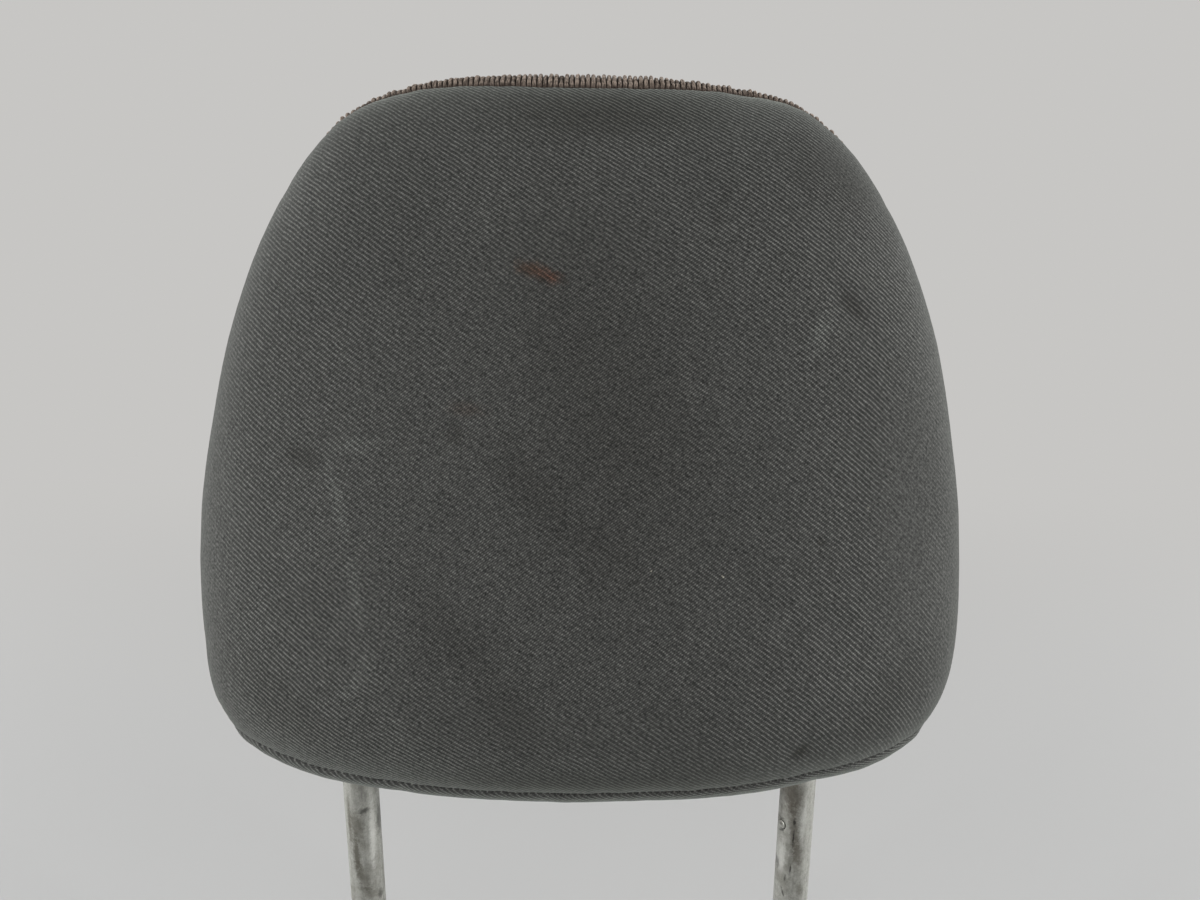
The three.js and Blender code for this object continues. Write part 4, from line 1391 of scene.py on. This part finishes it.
rib_number -= rib_number.min()
draws = np.random.default_rng(PILE_SEED)
rib_level = 1 + RIB_UNEVENNESS * draws.normal(size=rib_number.max() + 1)
tufts = softened(draws.normal(size=(len(front_rows), rib_number.max() + 1)), 1, closed=False)
leans = softened(draws.normal(size=tufts.shape), 1, closed=False)
crest = np.abs(np.cos(math.pi * column_x / RIB_PITCH)) ** RIB_ROUNDNESS
pile = crest * (rib_level + TUFT_UNEVENNESS * tufts)[:, rib_number]
shift += RIB_HEIGHT * pile * np.clip(away / PILE_RISE, 0, 1)
front_points = plain + normals * shift[..., None]
front_points[..., 0] += TUFT_LEAN * crest * leans[:, rib_number]
up_rib = lengths(plain)
front_flat = np.stack([np.broadcast_to(column_x, up_rib.shape), up_rib], axis=-1)
front = lattice_piece("front_panel", turned_in(front_points, normals), turned_in(front_flat), flip=True)
# Painted shade along the seam, at the foot of the pile, kept for the material.
depth = turned_in(away[..., None]) / VELOUR_BASE_REACH
store(front, "deep", VELOUR_BASE_SHADE * np.exp(-(depth**2)))
thicken(front)
front.data.shade_smooth()
front.data.materials.append(make_velour())
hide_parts("cover_front")
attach(front, "root")

# Inner pieces. The moulded foam, the two wires that stiffen it and the two hooked closing strips of
# the cover lie inside, where only their materials are new.
FOAM_COLOUR = (0.62, 0.55, 0.37, 1)
FOAM_SHADE = (0.42, 0.35, 0.2, 1)
WIRE_COLOUR = (0.3, 0.29, 0.28, 1)
WIRE_DULL = (0.11, 0.1, 0.095, 1)
STRIP_COLOUR = (0.018, 0.018, 0.019, 1)
STRIP_WORN = (0.045, 0.045, 0.046, 1)
FOAM_PORES = {"scale": 1400, "detail": 3, "roughness": 0.6}
FOAM_AGING = {"scale": 30, "detail": 4, "roughness": 0.6}
FOAM_AGING_RANGE = (0.35, 0.65)
FOAM_PORE_RANGE = (0.42, 0.3)
FOAM_RELIEF = 0.4 * MM
FOAM_ROUGHNESS = 0.95
FOAM_SPECULAR = 0.2
WIRE_STREAKS = {"scale": 900, "detail": 4, "roughness": 0.6, "stretch": (0.2, 1, 1)}
WIRE_TONE_RANGE = (0.35, 0.65)
WIRE_ROUGHNESS = (0.3, 0.5)
WIRE_RELIEF = 0.04 * MM
WIRE_METALLIC = 0.9
STRIP_LINES = {"scale": 1600, "detail": 3, "roughness": 0.6, "stretch": (0.05, 1, 1)}
STRIP_WEAR = {"scale": 180, "detail": 4, "roughness": 0.65}
STRIP_WEAR_RANGE = (0.5, 0.7)
STRIP_ROUGHNESS = (0.38, 0.55)
STRIP_RELIEF = 0.05 * MM
GLOSS_RANGE = (0.3, 0.7)


def make_foam():
    """Moulded foam with open pores and a yellowed skin."""
    material, tree, surface = new_material("moulded_foam")
    place = object_place(tree)
    pores = grain(tree, place, **FOAM_PORES)
    aged = between(tree, grain(tree, place, **FOAM_AGING), *FOAM_AGING_RANGE)
    colour = blend_colours(tree, aged, FOAM_COLOUR, FOAM_SHADE)
    colour = blend_colours(tree, between(tree, pores, *FOAM_PORE_RANGE), colour, FOAM_SHADE)
    normal = raised(tree, pores, FOAM_RELIEF)
    finish_material(tree, surface, colour, FOAM_ROUGHNESS, normal, Specular_IOR_Level=FOAM_SPECULAR)
    return material


def make_wire():
    """Drawn steel wire with long streaks and a film of oil."""
    material, tree, surface = new_material("drawn_wire")
    drawn = grain(tree, object_place(tree), **WIRE_STREAKS)
    colour = blend_colours(tree, between(tree, drawn, *WIRE_TONE_RANGE), WIRE_COLOUR, WIRE_DULL)
    roughness = between(tree, drawn, *GLOSS_RANGE, *WIRE_ROUGHNESS)
    normal = raised(tree, drawn, WIRE_RELIEF)
    finish_material(tree, surface, colour, roughness, normal, Metallic=WIRE_METALLIC)
    return material


def make_strip_plastic():
    """Extruded black plastic, with fine lines along it and slightly greyed corners."""
    material, tree, surface = new_material("extruded_plastic")
    place = object_place(tree)
    lines = grain(tree, place, **STRIP_LINES)
    worn = grain(tree, place, **STRIP_WEAR)
    colour = blend_colours(tree, between(tree, worn, *STRIP_WEAR_RANGE), STRIP_COLOUR, STRIP_WORN)
    roughness = between(tree, worn, *GLOSS_RANGE, *STRIP_ROUGHNESS)
    finish_material(tree, surface, colour, roughness, raised(tree, lines, STRIP_RELIEF))
    return material


for maker, nodes in (
    (make_foam, ("foam_core",)),
    (make_wire, ("upper_foam_wire", "lower_foam_wire")),
    (make_strip_plastic, ("closing_strip_rear", "closing_strip_front")),
):
    material = maker()
    for node in nodes:
        for slot in bpy.data.objects[node].material_slots:
            slot.material = material
